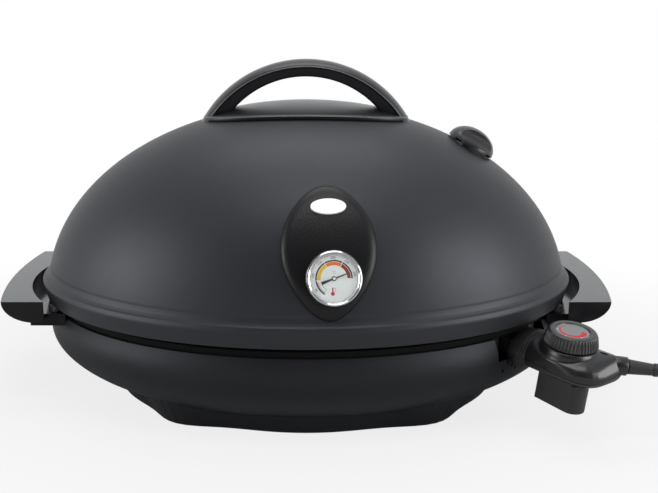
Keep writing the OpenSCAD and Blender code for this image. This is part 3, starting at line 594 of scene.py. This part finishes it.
def solid(name, rings, closed=True, capped=True, smooth=True):
    """A skin over rings of points, each ring with as many points as the next."""
    n = len(rings[0])
    points = [p for ring in rings for p in ring]
    last = n if closed else n - 1
    faces = [(i * n + k, i * n + (k + 1) % n, (i + 1) * n + (k + 1) % n, (i + 1) * n + k)
             for i in range(len(rings) - 1) for k in range(last)]
    if capped:
        faces += [tuple(range(n))[::-1], tuple((len(rings) - 1) * n + k for k in range(n))]
    mesh = bpy.data.meshes.new(name)
    mesh.from_pydata([tuple(p) for p in points], [], faces)
    shape = bmesh.new()
    shape.from_mesh(mesh)
    bmesh.ops.remove_doubles(shape, verts=shape.verts, dist=1e-6)
    bmesh.ops.recalc_face_normals(shape, faces=shape.faces)
    shape.to_mesh(mesh)
    shape.free()
    if smooth:
        mesh.shade_smooth()
    piece = bpy.data.objects.new(name, mesh)
    scene.collection.objects.link(piece)
    return piece


def join(name, *pieces):
    """Makes one piece of several."""
    shape = bmesh.new()
    for piece in pieces:
        shape.from_mesh(piece.data)
        bpy.data.objects.remove(piece)
    mesh = bpy.data.meshes.new(name)
    shape.to_mesh(mesh)
    shape.free()
    whole = bpy.data.objects.new(name, mesh)
    scene.collection.objects.link(whole)
    return whole


def arch_section(inner):
    """Half of the grip's section from its crown to its inner face: depth and radius."""
    half = []
    for t in (0, 0.2, 0.4, 0.58, 0.74, 0.84, crown_end):
        across = crown_half * math.sin(t) / math.sin(crown_end)
        drop = crown_drop * (1 - math.cos(t)) / (1 - math.cos(crown_end))
        half.append((across, arch_r - drop))
    lip = arch_r - 0.0052
    half += [(grip_half, lip - 0.0002), (grip_half + 0.0001, lip - 0.0008),
             (grip_half - 0.0003, lip - 0.0014), (grip_half - 0.0009, lip - 0.0017),
             (grip_half - 0.0010, lip - 0.0024), (grip_half - 0.0010, inner + 0.0022),
             (grip_half - 0.0014, inner + 0.0008), (grip_half - 0.0026, inner), (0, inner)]
    return half


arch_rings = []
for i in range(97):
    turn = math.radians(-67 + 134 * i / 96)
    lift = opening_z - arch_z
    inner = lift * math.cos(turn) + math.sqrt(opening_r ** 2 - (lift * math.sin(turn)) ** 2)
    half = arch_section(inner)
    ring = [(y, r) for y, r in half] + [(-y, r) for y, r in half[-2:0:-1]]
    arch_rings.append([])
    for y, r in ring:
        x = r * math.sin(turn)
        z = max(arch_z + r * math.cos(turn), dome_height(x, y) - 0.0007)
        arch_rings[-1].append(Vector((x, y, z)))
arch = solid("arch", arch_rings)
saddle_form = [(inset, sunk) for inset in (0.046, 0.036, 0.024, 0.012, 0)]
saddle_form += [(0, 0.0026), (0.0001, 0.0034), (0.0005, 0.0040), (0.0010, 0.0043)]
saddle_form += [(inset, saddle_t) for inset in (0.0018, 0.006, 0.014, 0.024, 0.036, 0.046)]
saddle_rings = []
for inset, rise in saddle_form:
    saddle_rings.append([])
    for k in range(144):
        t = 2 * math.pi * k / 144
        x = (saddle[0] - inset * (1 if inset < 0.003 else 2)) * math.cos(t)
        y = (saddle[1] - inset) * math.sin(t)
        saddle_rings[-1].append(Vector((x, y, dome_height(x, y, rise))))
grip = join("lid_grip", arch, solid("saddle", saddle_rings))


def dull_on_sides(recipe):
    side = recipe.facing((0, 1, 0))
    return recipe.spread(recipe.ease(side.math("ABSOLUTE", side), 0.7, 0.97), 1, 0.2)


grip_satin = finish("grip_satin", mottled(0.015, (0.0050, 0.0051, 0.0060), (0.0080, 0.0081, 0.0092)),
                    uneven(0.01, 0.4, 0.5), grain(0.0011, detail=2),
                    depth=0.00003, edge=0.0004, Specular_IOR_Level=0.04,
                    Coat_Roughness=0.34, Coat_IOR=1.42, Coat_Weight=dull_on_sides)
fit(grip, grip_satin, "lid", "grip_black", "lid_handle")


def bead(name, points, radius, around=8):
    """A fine round bead along a line of points."""
    rings = []
    for i, point in enumerate(points):
        along = (points[min(i + 1, len(points) - 1)] - points[max(i - 1, 0)]).normalized()
        side = along.cross(Vector((0, 1, 0.02))).normalized()
        rings.append([point + radius * (math.cos(2 * math.pi * k / around) * side
                                        + math.sin(2 * math.pi * k / around) * along.cross(side))
                      for k in range(around)])
    return solid(name, rings)


lip_r = arch_r - 0.0056
lip_lines = []
for face in (-1, 1):
    line = []
    for i in range(121):
        turn = math.radians(-63.6 + 127.2 * i / 120)
        line.append(Vector((lip_r * math.sin(turn), face * grip_half,
                            arch_z + lip_r * math.cos(turn))))
    lip_lines.append(bead("lip", line, 0.00055))
edge_line = []
for k in range(181):
    t = 2 * math.pi * k / 180
    x = (saddle[0] - 0.0004) * math.cos(t)
    y = (saddle[1] - 0.0004) * math.sin(t)
    edge_line.append(Vector((x, y, dome_height(x, y, 0.0037))))
lip = join("grip_lip", *lip_lines, bead("lip", edge_line, 0.00045))
# painted highlight: the lip's pale grey stands in for the light caught along the black grip's edges
lip_painted_highlight = finish("lip_painted_highlight", mottled(0.012, (0.085, 0.086, 0.092), (0.13, 0.131, 0.14)),
                    uneven(0.006, 0.22, 0.34), edge=0)
fit(lip, lip_painted_highlight, "lid", "grip_black")

# ---- Badge housing --------------------------------------------------------------------
# An egg-shaped moulding with a soft rim and a leathery grain, screwed to the lid from
# inside. It frames the thermometer and a plain white plate.
badge_at = on_dome(on_front(0.020, 0.184))
badge_l = 0.1205
badge_w = 0.0825
badge_t = 0.0065
badge_rim = 0.0085
thermo_at = on_dome(on_front(0.0236, 0.1617))
plate_at = on_dome(on_front(0.019, 0.216))


def off_dome(stand, x, y, proud):
    """Point straight above a spot of a frame's plane, on a skin that far off the dome."""
    start = stand @ Vector((x, y, 0))
    along = (stand.to_3x3() @ Vector((0, 0, 1)))
    axes = Vector((dome_a + proud, (dome_a + proud) * oval, dome_h + proud))
    p = Vector([(start[i] - (0, 0, dome_z)[i]) / axes[i] for i in range(3)])
    d = Vector([along[i] / axes[i] for i in range(3)])
    b = p.dot(d)
    t = (-b + math.sqrt(max(b * b - d.dot(d) * (p.dot(p) - 1), 0))) / d.dot(d)
    return start + along * t


def egg(t):
    """The housing's outline: down the slope, and across it."""
    u = -math.cos(t)
    return badge_l / 2 * u, badge_w / 2 * math.sin(t) * (1.015 - 0.05 * u - 0.2 * u * u)


outline = [egg(2 * math.pi * (k + 0.5) / 160) for k in range(160)]
reach = [math.hypot(x * badge_w / badge_l, y) for x, y in outline]
badge_rings = [[off_dome(badge_at, x * share, y * share, -0.0008) for x, y in outline]
               for share in (0.08, 0.25, 0.45, 0.65, 0.85, 1)]
for inset in (0, 0.0003, 0.0008, 0.0016, 0.0026, 0.0038, 0.0052, 0.0068, badge_rim):
    rise = 0.0012 + (badge_t - 0.0012) * math.sqrt(1 - (1 - inset / badge_rim) ** 2)
    badge_rings.append([off_dome(badge_at, x * (1 - inset / far), y * (1 - inset / far), rise)
                        for (x, y), far in zip(outline, reach)])
for share in (0.85, 0.7, 0.55, 0.4, 0.25, 0.1):
    flat_part = [share * (1 - badge_rim / far) for far in reach]
    badge_rings.append([off_dome(badge_at, x * part, y * part, badge_t)
                        for (x, y), part in zip(outline, flat_part)])
badge = solid("badge_moulding", badge_rings)


def lathe(name, stand, profile, around=96, stretch=(1, 1), capped=True):
    """A profile of radii and heights turned about a frame's Z."""
    rings = [[stand @ Vector((r * stretch[0] * math.cos(2 * math.pi * k / around),
                              r * stretch[1] * math.sin(2 * math.pi * k / around), z))
              for k in range(around)] for r, z in profile]
    return solid(name, rings, capped=capped)


def cut(piece, cutter):
    """Takes a cutter out of a piece."""
    knife = piece.modifiers.new("cut", "BOOLEAN")
    knife.object = cutter
    knife.solver = "EXACT"
    settle(piece)
    bpy.data.objects.remove(cutter)


def settle(piece):
    """Makes a piece's modifiers part of its mesh."""
    graph = bpy.context.evaluated_depsgraph_get()
    mesh = bpy.data.meshes.new_from_object(piece.evaluated_get(graph))
    piece.modifiers.clear()
    piece.data = mesh
    mesh.set_sharp_from_angle(angle=math.radians(38))


cut(badge, lathe("well", thermo_at, [(0.0248, 0.0036), (0.0248, 0.03)]))
cut(badge, lathe("plate_well", plate_at, [(0.0158, badge_t - 0.0021), (0.0158, 0.02)],
                 stretch=(0.475, 1)))


def leathery(recipe):
    return recipe.mix(recipe.cells(0.0011), (0.0042, 0.0043, 0.0050), (0.0068, 0.0069, 0.0078))


badge_grain = finish("badge_grain", leathery,
                     uneven(0.004, 0.30, 0.40), lambda r: r.cells(0.0011),
                     depth=0.00012, edge=0.0007, Specular_IOR_Level=0.22)
fit(badge, badge_grain, "lid", "badge_black", "badge_housing")
plate_enamel = finish("plate_enamel", mottled(0.006, (0.84, 0.84, 0.84), (0.88, 0.88, 0.88)),
                      uneven(0.003, 0.2, 0.3), edge=0.0006)
put_on(plate_enamel, "name_plate")

# ---- Thermometer ----------------------------------------------------------------------
# A bimetal dial thermometer in a polished steel case: printed face with coloured heat
# zones and plain numbers, a needle on its own arbor, and a flat glass.
face_z = 0.00584
bezel_polish = finish("bezel_polish", (0.43, 0.43, 0.44), uneven(0.002, 0.1, 0.18),
                      edge=0.0005, Metallic=1.0)
put_on(bezel_polish, "thermometer_case")
inner_ring = lathe("thermometer_inner_ring", thermo_at,
                   [(0.0216, 0.0059), (0.0216, 0.0075), (0.0211, 0.0075), (0.0206, 0.0071),
                    (0.0202, 0.0063), (0.0200, 0.0059)],
                   capped=False)
ring_satin = finish("ring_satin", (0.62, 0.64, 0.64), uneven(0.001, 0.25, 0.4),
                    edge=0.0002, Metallic=1.0)
fit(inner_ring, ring_satin, "lid", "bezel_steel")
face_paint = finish("face_paint", mottled(0.004, (0.72, 0.77, 0.75), (0.76, 0.80, 0.79)), 0.5, edge=0)
put_on(face_paint, "thermometer_face")
clear_glass = finish("thermometer_glass", (1, 1, 1), 0.02, edge=0, IOR=1.45, Transmission_Weight=1.0)
put_on(clear_glass, "thermometer_glass")
stem_steel = finish("stem_steel", (0.6, 0.6, 0.61), uneven(0.002, 0.2, 0.36, (1, 1, 8)),
                    edge=0.0004, Metallic=1.0)
put_on(stem_steel, "thermometer_stem")
needle_paint = finish("needle_paint", (0.002, 0.002, 0.002), uneven(0.002, 0.5, 0.6), edge=0)
needle_line = [(-11.4, -1.5), (-11.6, 0), (-11.4, 1.5), (-6.5, 1.0), (-1.6, 0.7), (1.6, 0.7),
               (14.2, 0.42), (14.2, -0.42), (1.6, -0.7), (-1.6, -0.7), (-6.5, -1.0)]
needle_angle = 20
needle_turn = thermo_at @ Matrix.Rotation(math.radians(90 + needle_angle), 4, "Z")
needle = solid("needle_blade", [[needle_turn @ Vector((x / 1000, y / 1000, z)) for x, y in needle_line]
                                for z in (0.0063, 0.0068)], smooth=False)
arbor = lathe("arbor", needle_turn,
              [(0.0009, 0.0026), (0.0009, 0.0062), (0.0021, 0.0063), (0.0021, 0.0071)], 24)
needle = join("needle_pointer", needle, arbor)
fit(needle, needle_paint, "needle", "needle_black", "thermometer_needle")


def arc(radius, start, stop, step=4):
    """Points on an arc of the face, in degrees from its right-hand side."""
    count = max(2, int(abs(stop - start) / step))
    stations = [math.radians(start + (stop - start) * i / count) for i in range(count + 1)]
    return [(radius * math.cos(turn), radius * math.sin(turn)) for turn in stations]


def band(inner, outer, start, stop):
    return arc(inner, start, stop) + arc(outer, stop, start)


def printed(name, stand, lift, colour, shapes, body, slot):
    """Flat printing on a face: shapes are outlines, right and up, in millimetres."""
    mesh = bpy.data.meshes.new(name)
    points = []
    faces = []
    for shape in shapes:
        faces.append(tuple(range(len(points), len(points) + len(shape))))
        points += [tuple(stand @ Vector((-y / 1000, x / 1000, lift))) for x, y in shape]
    mesh.from_pydata(points, [], faces)
    piece = bpy.data.objects.new(name, mesh)
    scene.collection.objects.link(piece)
    worn = tuple(c * 0.9 for c in colour)
    ink = finish(name + "_ink", mottled(0.0008, colour, worn), 0.45, edge=0, Specular_IOR_Level=0.1)
    fit(piece, ink, body, slot)


def numbers(name, stand, lift, colour, marks, size, body, slot):
    """Plain figures on a face, each with its radius, its angle and its turn."""
    shape = bmesh.new()
    for text, radius, angle, turn in marks:
        letters = bpy.data.curves.new(name, "FONT")
        letters.body = text
        letters.size = size
        letters.align_x = "CENTER"
        letters.align_y = "CENTER"
        holder = bpy.data.objects.new(name, letters)
        mesh = bpy.data.meshes.new_from_object(holder)
        at = polar(radius, math.radians(angle)) / 1000
        flat = Matrix.Translation(at) @ Matrix.Rotation(math.radians(turn), 4, "Z")
        upright = stand @ Matrix.Translation((0, 0, lift)) @ Matrix.Rotation(math.radians(90), 4, "Z")
        mesh.transform(upright @ flat)
        shape.from_mesh(mesh)
        bpy.data.objects.remove(holder)
    figures = bpy.data.meshes.new(name)
    shape.to_mesh(figures)
    shape.free()
    piece = bpy.data.objects.new(name, figures)
    scene.collection.objects.link(piece)
    fit(piece, finish(name + "_ink", colour, 0.5, edge=0, Specular_IOR_Level=0.1), body, slot)


on_face = ("lid", "face_white")
printed("zone_outline", thermo_at, face_z, (0.006, 0.006, 0.012),
        [band(14.8, 16.1, a, b) for a, b in ((238, 187), (185, 121), (119, 62), (60, 0))]
        + [band(14.0, 14.3, 234, 193), band(11.3, 11.6, 234, 193), band(11.3, 14.3, 235, 234)],
        *on_face)
printed("zone_yellow", thermo_at, face_z, (0.80, 0.50, 0.02), [band(11.5, 14.4, 185.5, 121)], *on_face)
printed("zone_orange", thermo_at, face_z, (0.78, 0.16, 0.01), [band(11.5, 14.4, 119, 62)], *on_face)
printed("zone_red", thermo_at, face_z, (0.30, 0.008, 0.008), [band(11.5, 14.4, 60, 1)], *on_face)
printed("bulb_sign", thermo_at, face_z, (0.45, 0.03, 0.06),
        [[(-1.3 + x, -12.9 + y) for x, y in arc(1.7, 0, 350, 20)],
         [(-1.9, -12), (-0.7, -12), (-0.7, -7.6), (-1.9, -7.6)],
         [(0.2, -8.4), (1.5, -8.4), (1.5, -8.0), (0.2, -8.0)],
         [(0.2, -9.8), (1.2, -9.8), (1.2, -9.4), (0.2, -9.4)],
         [(0.2, -11.2), (1.5, -11.2), (1.5, -10.8), (0.2, -10.8)]], *on_face)
numbers("scale_numbers", thermo_at, face_z, (0.03, 0.03, 0.045),
        [(str(50 * (i + 1)), 18.0, a, a - 90) for i, a in enumerate((212, 172, 132, 92, 52, 12))],
        0.0030, *on_face)
numbers("scale_unit", thermo_at, face_z, (0.3, 0.25, 0.35), [("°C", 5.2, 90, 0)], 0.0034, *on_face)
hub = lathe("needle_hub_disc", thermo_at,
            [(0.0013, 0.0071), (0.0013, 0.00735), (0.0010, 0.00745), (0.0002, 0.00748)], 24)
fit(hub, ring_satin, "needle", "bezel_steel")

# ---- Vent -----------------------------------------------------------------------------
# A turning cap with a bar to grip it by, over a seat with steam holes; a steel shutter
# inside the lid turns with it.
vent_satin = finish("vent_satin", mottled(0.01, (0.010, 0.010, 0.011), (0.014, 0.014, 0.0152)),
                    uneven(0.006, 0.26, 0.36), grain(0.001, detail=2),
                    depth=0.00003, edge=0.0009)
put_on(vent_satin, "vent_seat", "vent_knob")
shutter_steel = finish("shutter_steel", (0.6, 0.6, 0.6), uneven(0.003, 0.24, 0.42, (1, 4, 1)),
                       edge=0.0003, Metallic=1.0)
put_on(shutter_steel, "vent_shutter")

# ---- Thermostat -----------------------------------------------------------------------
# The plug-in control: a neck with two brass contacts and a probe, and a head in two
# screwed shells with a guard leg, a small lamp and the lead's boot.
droop = math.radians(7.5)
plug_at = Matrix.Translation((0.203, -0.100, 0.078)) @ Matrix.Rotation(math.radians(-48), 4, "Z")
head_at = plug_at @ Matrix.Translation((0.022, 0, 0)) @ Matrix.Rotation(droop, 4, "Y")
dial_x = 0.030
seam_z = -0.004
deck_z = 0.0167


def ball(at, radius, flat=1.0, around=28):
    """Points over a ball that is flattened to that share of its height."""
    points = []
    for i in range(around // 2 + 1):
        up = math.pi * (i / (around // 2) - 0.5)
        for k in range(around):
            turn = 2 * math.pi * k / around
            points.append(mm(*at) + polar(math.cos(up), turn, flat * math.sin(up)) * radius / 1000)
    return points


def disc(x, radius, z, around=48):
    """Points round a level disc, in millimetres."""
    return [mm(x, 0, z) + polar(radius, 2 * math.pi * k / around) / 1000 for k in range(around)]


def wrap(shape, points):
    """Adds the closed skin that a cloth pulled tight round the points would have."""
    knots = [shape.verts.new(p) for p in points]
    found = bmesh.ops.convex_hull(shape, input=knots)
    spare = {v for v in found["geom_interior"] + found["geom_unused"]
             if isinstance(v, bmesh.types.BMVert)}
    bmesh.ops.delete(shape, geom=list(spare), context="VERTS")


neck_arch = [mm(-6, 25 * math.cos(t), min(-12 + 25 * math.sin(t), 13))
             for t in [math.pi * k / 24 for k in range(25)] if abs(math.cos(t)) < 0.92]
neck_arch += [mm(-6, 23, -12), mm(-6, -23, -12), mm(-6, 23, -2), mm(-6, -23, -2)]
form = bmesh.new()
wrap(form, neck_arch + disc(dial_x * 1000, 28.5, 7.5) + ball((44, 3, -0.5), 30, 0.54)
     + ball((61, 14, 2), 15.5, 0.85) + ball((65, 15.5, 6.5), 9.5))
wrap(form, disc(dial_x * 1000, 27.2, -2) + disc(dial_x * 1000, 26.0, 12.7)
     + disc(dial_x * 1000, 24.6, deck_z * 1000))
head_mesh = bpy.data.meshes.new("head")
form.to_mesh(head_mesh)
form.free()
head = bpy.data.objects.new("head", head_mesh)
scene.collection.objects.link(head)
melt = head.modifiers.new("melt", "REMESH")
melt.mode = "VOXEL"
melt.voxel_size = 0.0009
soften = head.modifiers.new("soften", "SMOOTH")
soften.factor = 0.5
soften.iterations = 14
settle(head)


def shell(name, low, high, bores):
    """The part of the head's form between two heights, without its bores."""
    piece = bpy.data.objects.new(name, head.data.copy())
    scene.collection.objects.link(piece)
    shape = bmesh.new()
    shape.from_mesh(piece.data)
    cuts = [((0, 0, z), (0, 0, side)) for z, side in ((low, -1), (high, 1)) if z is not None]
    upright = Matrix.Rotation(-droop, 3, "Y")
    for at, out in cuts + [((0, 0, 0), tuple(upright @ Vector((-1, 0, 0))))]:
        ends = bmesh.ops.bisect_plane(shape, geom=shape.verts[:] + shape.edges[:] + shape.faces[:],
                                      plane_co=at, plane_no=out, clear_outer=True)
        rim = [g for g in ends["geom_cut"] if isinstance(g, bmesh.types.BMEdge)]
        bmesh.ops.holes_fill(shape, edges=rim)
    shape.to_mesh(piece.data)
    shape.free()
    for bore in bores:
        cut(piece, bore)
    piece.data.transform(head_at)
    piece.data.shade_smooth()
    return piece


tail_at = (Matrix.Translation((0.070, 0.0195, 0.007)) @ Matrix.Rotation(math.radians(42), 4, "Z")
           @ Matrix.Rotation(math.radians(90), 4, "Y"))
lamp_at = Matrix.Translation((0.058, 0.0117, 0.008)) @ Matrix.Rotation(math.radians(12), 4, "Z")
upper = shell("head_upper_shell", seam_z, None,
              [lathe("lamp_slot", lamp_at, [(0.0026, -0.003), (0.0026, 0.012)], 32, (1.5, 0.65))])
lower = shell("head_lower_shell", None, seam_z - 0.0007,
              [lathe("screw_well", Matrix.Translation(mm(x, y, 0)), [(0.0028, -0.035), (0.0028, -0.012)], 24)
               for x, y in ((52, -16), (60, 16))])
bpy.data.objects.remove(head)
collar = lathe("tail_collar", head_at @ tail_at,
               [(0.0072, -0.008), (0.0083, -0.004), (0.0085, 0.0), (0.0085, 0.0066),
                (0.0082, 0.0073), (0.0075, 0.0076), (0.0052, 0.0076), (0.0052, 0.004)], 48)
deck_ring = lathe("deck_ring", head_at @ Matrix.Translation((dial_x, 0, 0)),
                  [(0.0220, deck_z - 0.002), (0.0220, deck_z + 0.0006),
                   (0.0216, deck_z + 0.0008), (0.003, deck_z + 0.0008)], 64)
head_gloss = finish("head_gloss", mottled(0.01, (0.0055, 0.0055, 0.0064), (0.0085, 0.0085, 0.0095)),
                    uneven(0.006, 0.27, 0.35), grain(0.001, detail=2),
                    depth=0.00004, edge=0.0005)
fit(upper, head_gloss, "thermostat", "control_black", "head_top")
fit(lower, head_gloss, "thermostat", "control_black", "head_bottom")
for piece in (collar, deck_ring):
    fit(piece, head_gloss, "thermostat", "control_black")
neck_satin = finish("neck_satin", mottled(0.01, (0.014, 0.014, 0.015), (0.02, 0.02, 0.0215)),
                    uneven(0.005, 0.3, 0.42), grain(0.0009, detail=2),
                    depth=0.00004, edge=0.0008)
put_on(neck_satin, "plug_neck")
leg_satin = finish("leg_satin", mottled(0.01, (0.0095, 0.0095, 0.0105), (0.013, 0.013, 0.014)),
                   uneven(0.005, 0.38, 0.5), grain(0.0009, detail=2),
                   depth=0.00004, edge=0.0012)
put_on(leg_satin, "guard_leg")
boot_rubber = finish("boot_rubber", mottled(0.005, (0.011, 0.011, 0.012), (0.015, 0.015, 0.016)),
                     uneven(0.003, 0.32, 0.44), grain(0.0008),
                     depth=0.00003, edge=0.0006)
put_on(boot_rubber, "cord_boot")
brass = finish("contact_brass", mottled(0.003, (0.62, 0.45, 0.20), (0.52, 0.36, 0.15)),
               uneven(0.001, 0.2, 0.4), edge=0.0003, Metallic=1.0)
put_on(brass, "contact_sleeves")
probe_steel = finish("probe_steel", (0.6, 0.6, 0.61), uneven(0.002, 0.14, 0.3, (3, 3, 1)),
                     edge=0.0003, Metallic=1.0)
put_on(probe_steel, "temperature_probe")
lens = finish("lamp_lens", mottled(0.001, (0.20, 0.02, 0.012), (0.28, 0.04, 0.02)),
              uneven(0.001, 0.1, 0.2), edge=0.0005)
put_on(lens, "pilot_lamp")

# ---- Dial -----------------------------------------------------------------------------
# A ribbed knob with a flat rim round a grey disc; a plain red scale that grows with the
# heat and pale numbers are printed on the disc.
dial_at = head_at @ Matrix.Translation((dial_x, 0, deck_z + 0.0013))
ribs = 48
rib_depth = 0.0011
dial_rings = []
# each ring's radius, height and share of the ribs' depth
for radius, height, depth in ((0.0247, 0, 0), (0.0250, 0.0006, 1), (0.0232, 0.0086, 1),
                              (0.0225, 0.0102, 0.8), (0.0218, 0.0112, 0.25), (0.0212, 0.0117, 0),
                              (0.0200, 0.0120, 0), (0.0172, 0.0120, 0), (0.0158, 0.0119, 0),
                              (0.0152, 0.0115, 0), (0.0151, 0.0104, 0), (0.003, 0.0100, 0)):
    dial_rings.append([])
    for k in range(ribs * 8):
        t = 2 * math.pi * k / (ribs * 8)
        groove = (0, 0, 0.5, 1, 1, 1, 0.5, 0)[k % 8] * rib_depth * depth
        dial_rings[-1].append(dial_at @ polar(radius - groove, t, height))
knob = solid("dial_moulding", dial_rings)
dial_satin = finish("dial_satin", mottled(0.01, (0.006, 0.0062, 0.0068), (0.009, 0.0092, 0.01)),
                    uneven(0.005, 0.26, 0.35), grain(0.0009, detail=2),
                    depth=0.00003, edge=0.0002)
fit(knob, dial_satin, "dial", "dial_black", "dial_knob")
cap_grey = finish("cap_grey", mottled(0.003, (0.13, 0.135, 0.14), (0.17, 0.175, 0.18)),
                  uneven(0.002, 0.28, 0.4), edge=0.0004)
put_on(cap_grey, "dial_cap")
cap_z = 0.01124
on_dial = ("dial", "dial_cap_grey")
wedge_steps = 40


def on_wedge(radius, step):
    turn = math.radians(60 + 250 * step / wedge_steps)
    return radius * math.cos(turn), radius * math.sin(turn)


outer = [on_wedge(12.6, i) for i in range(wedge_steps + 1)]
inner = [on_wedge(12.2 - 4.6 * i / wedge_steps, i) for i in range(wedge_steps + 1)]
quads = [[outer[i], outer[i + 1], inner[i + 1], inner[i]] for i in range(wedge_steps)]
printed("heat_scale", dial_at, cap_z, (0.55, 0.03, 0.035), quads, *on_dial)
numbers("dial_numbers", dial_at, cap_z + 0.00003, (0.85, 0.82, 0.82),
        [(str(i + 1), 13.6, a, a - 90) for i, a in enumerate((70, 130, 190, 250, 300))],
        0.0034, *on_dial)
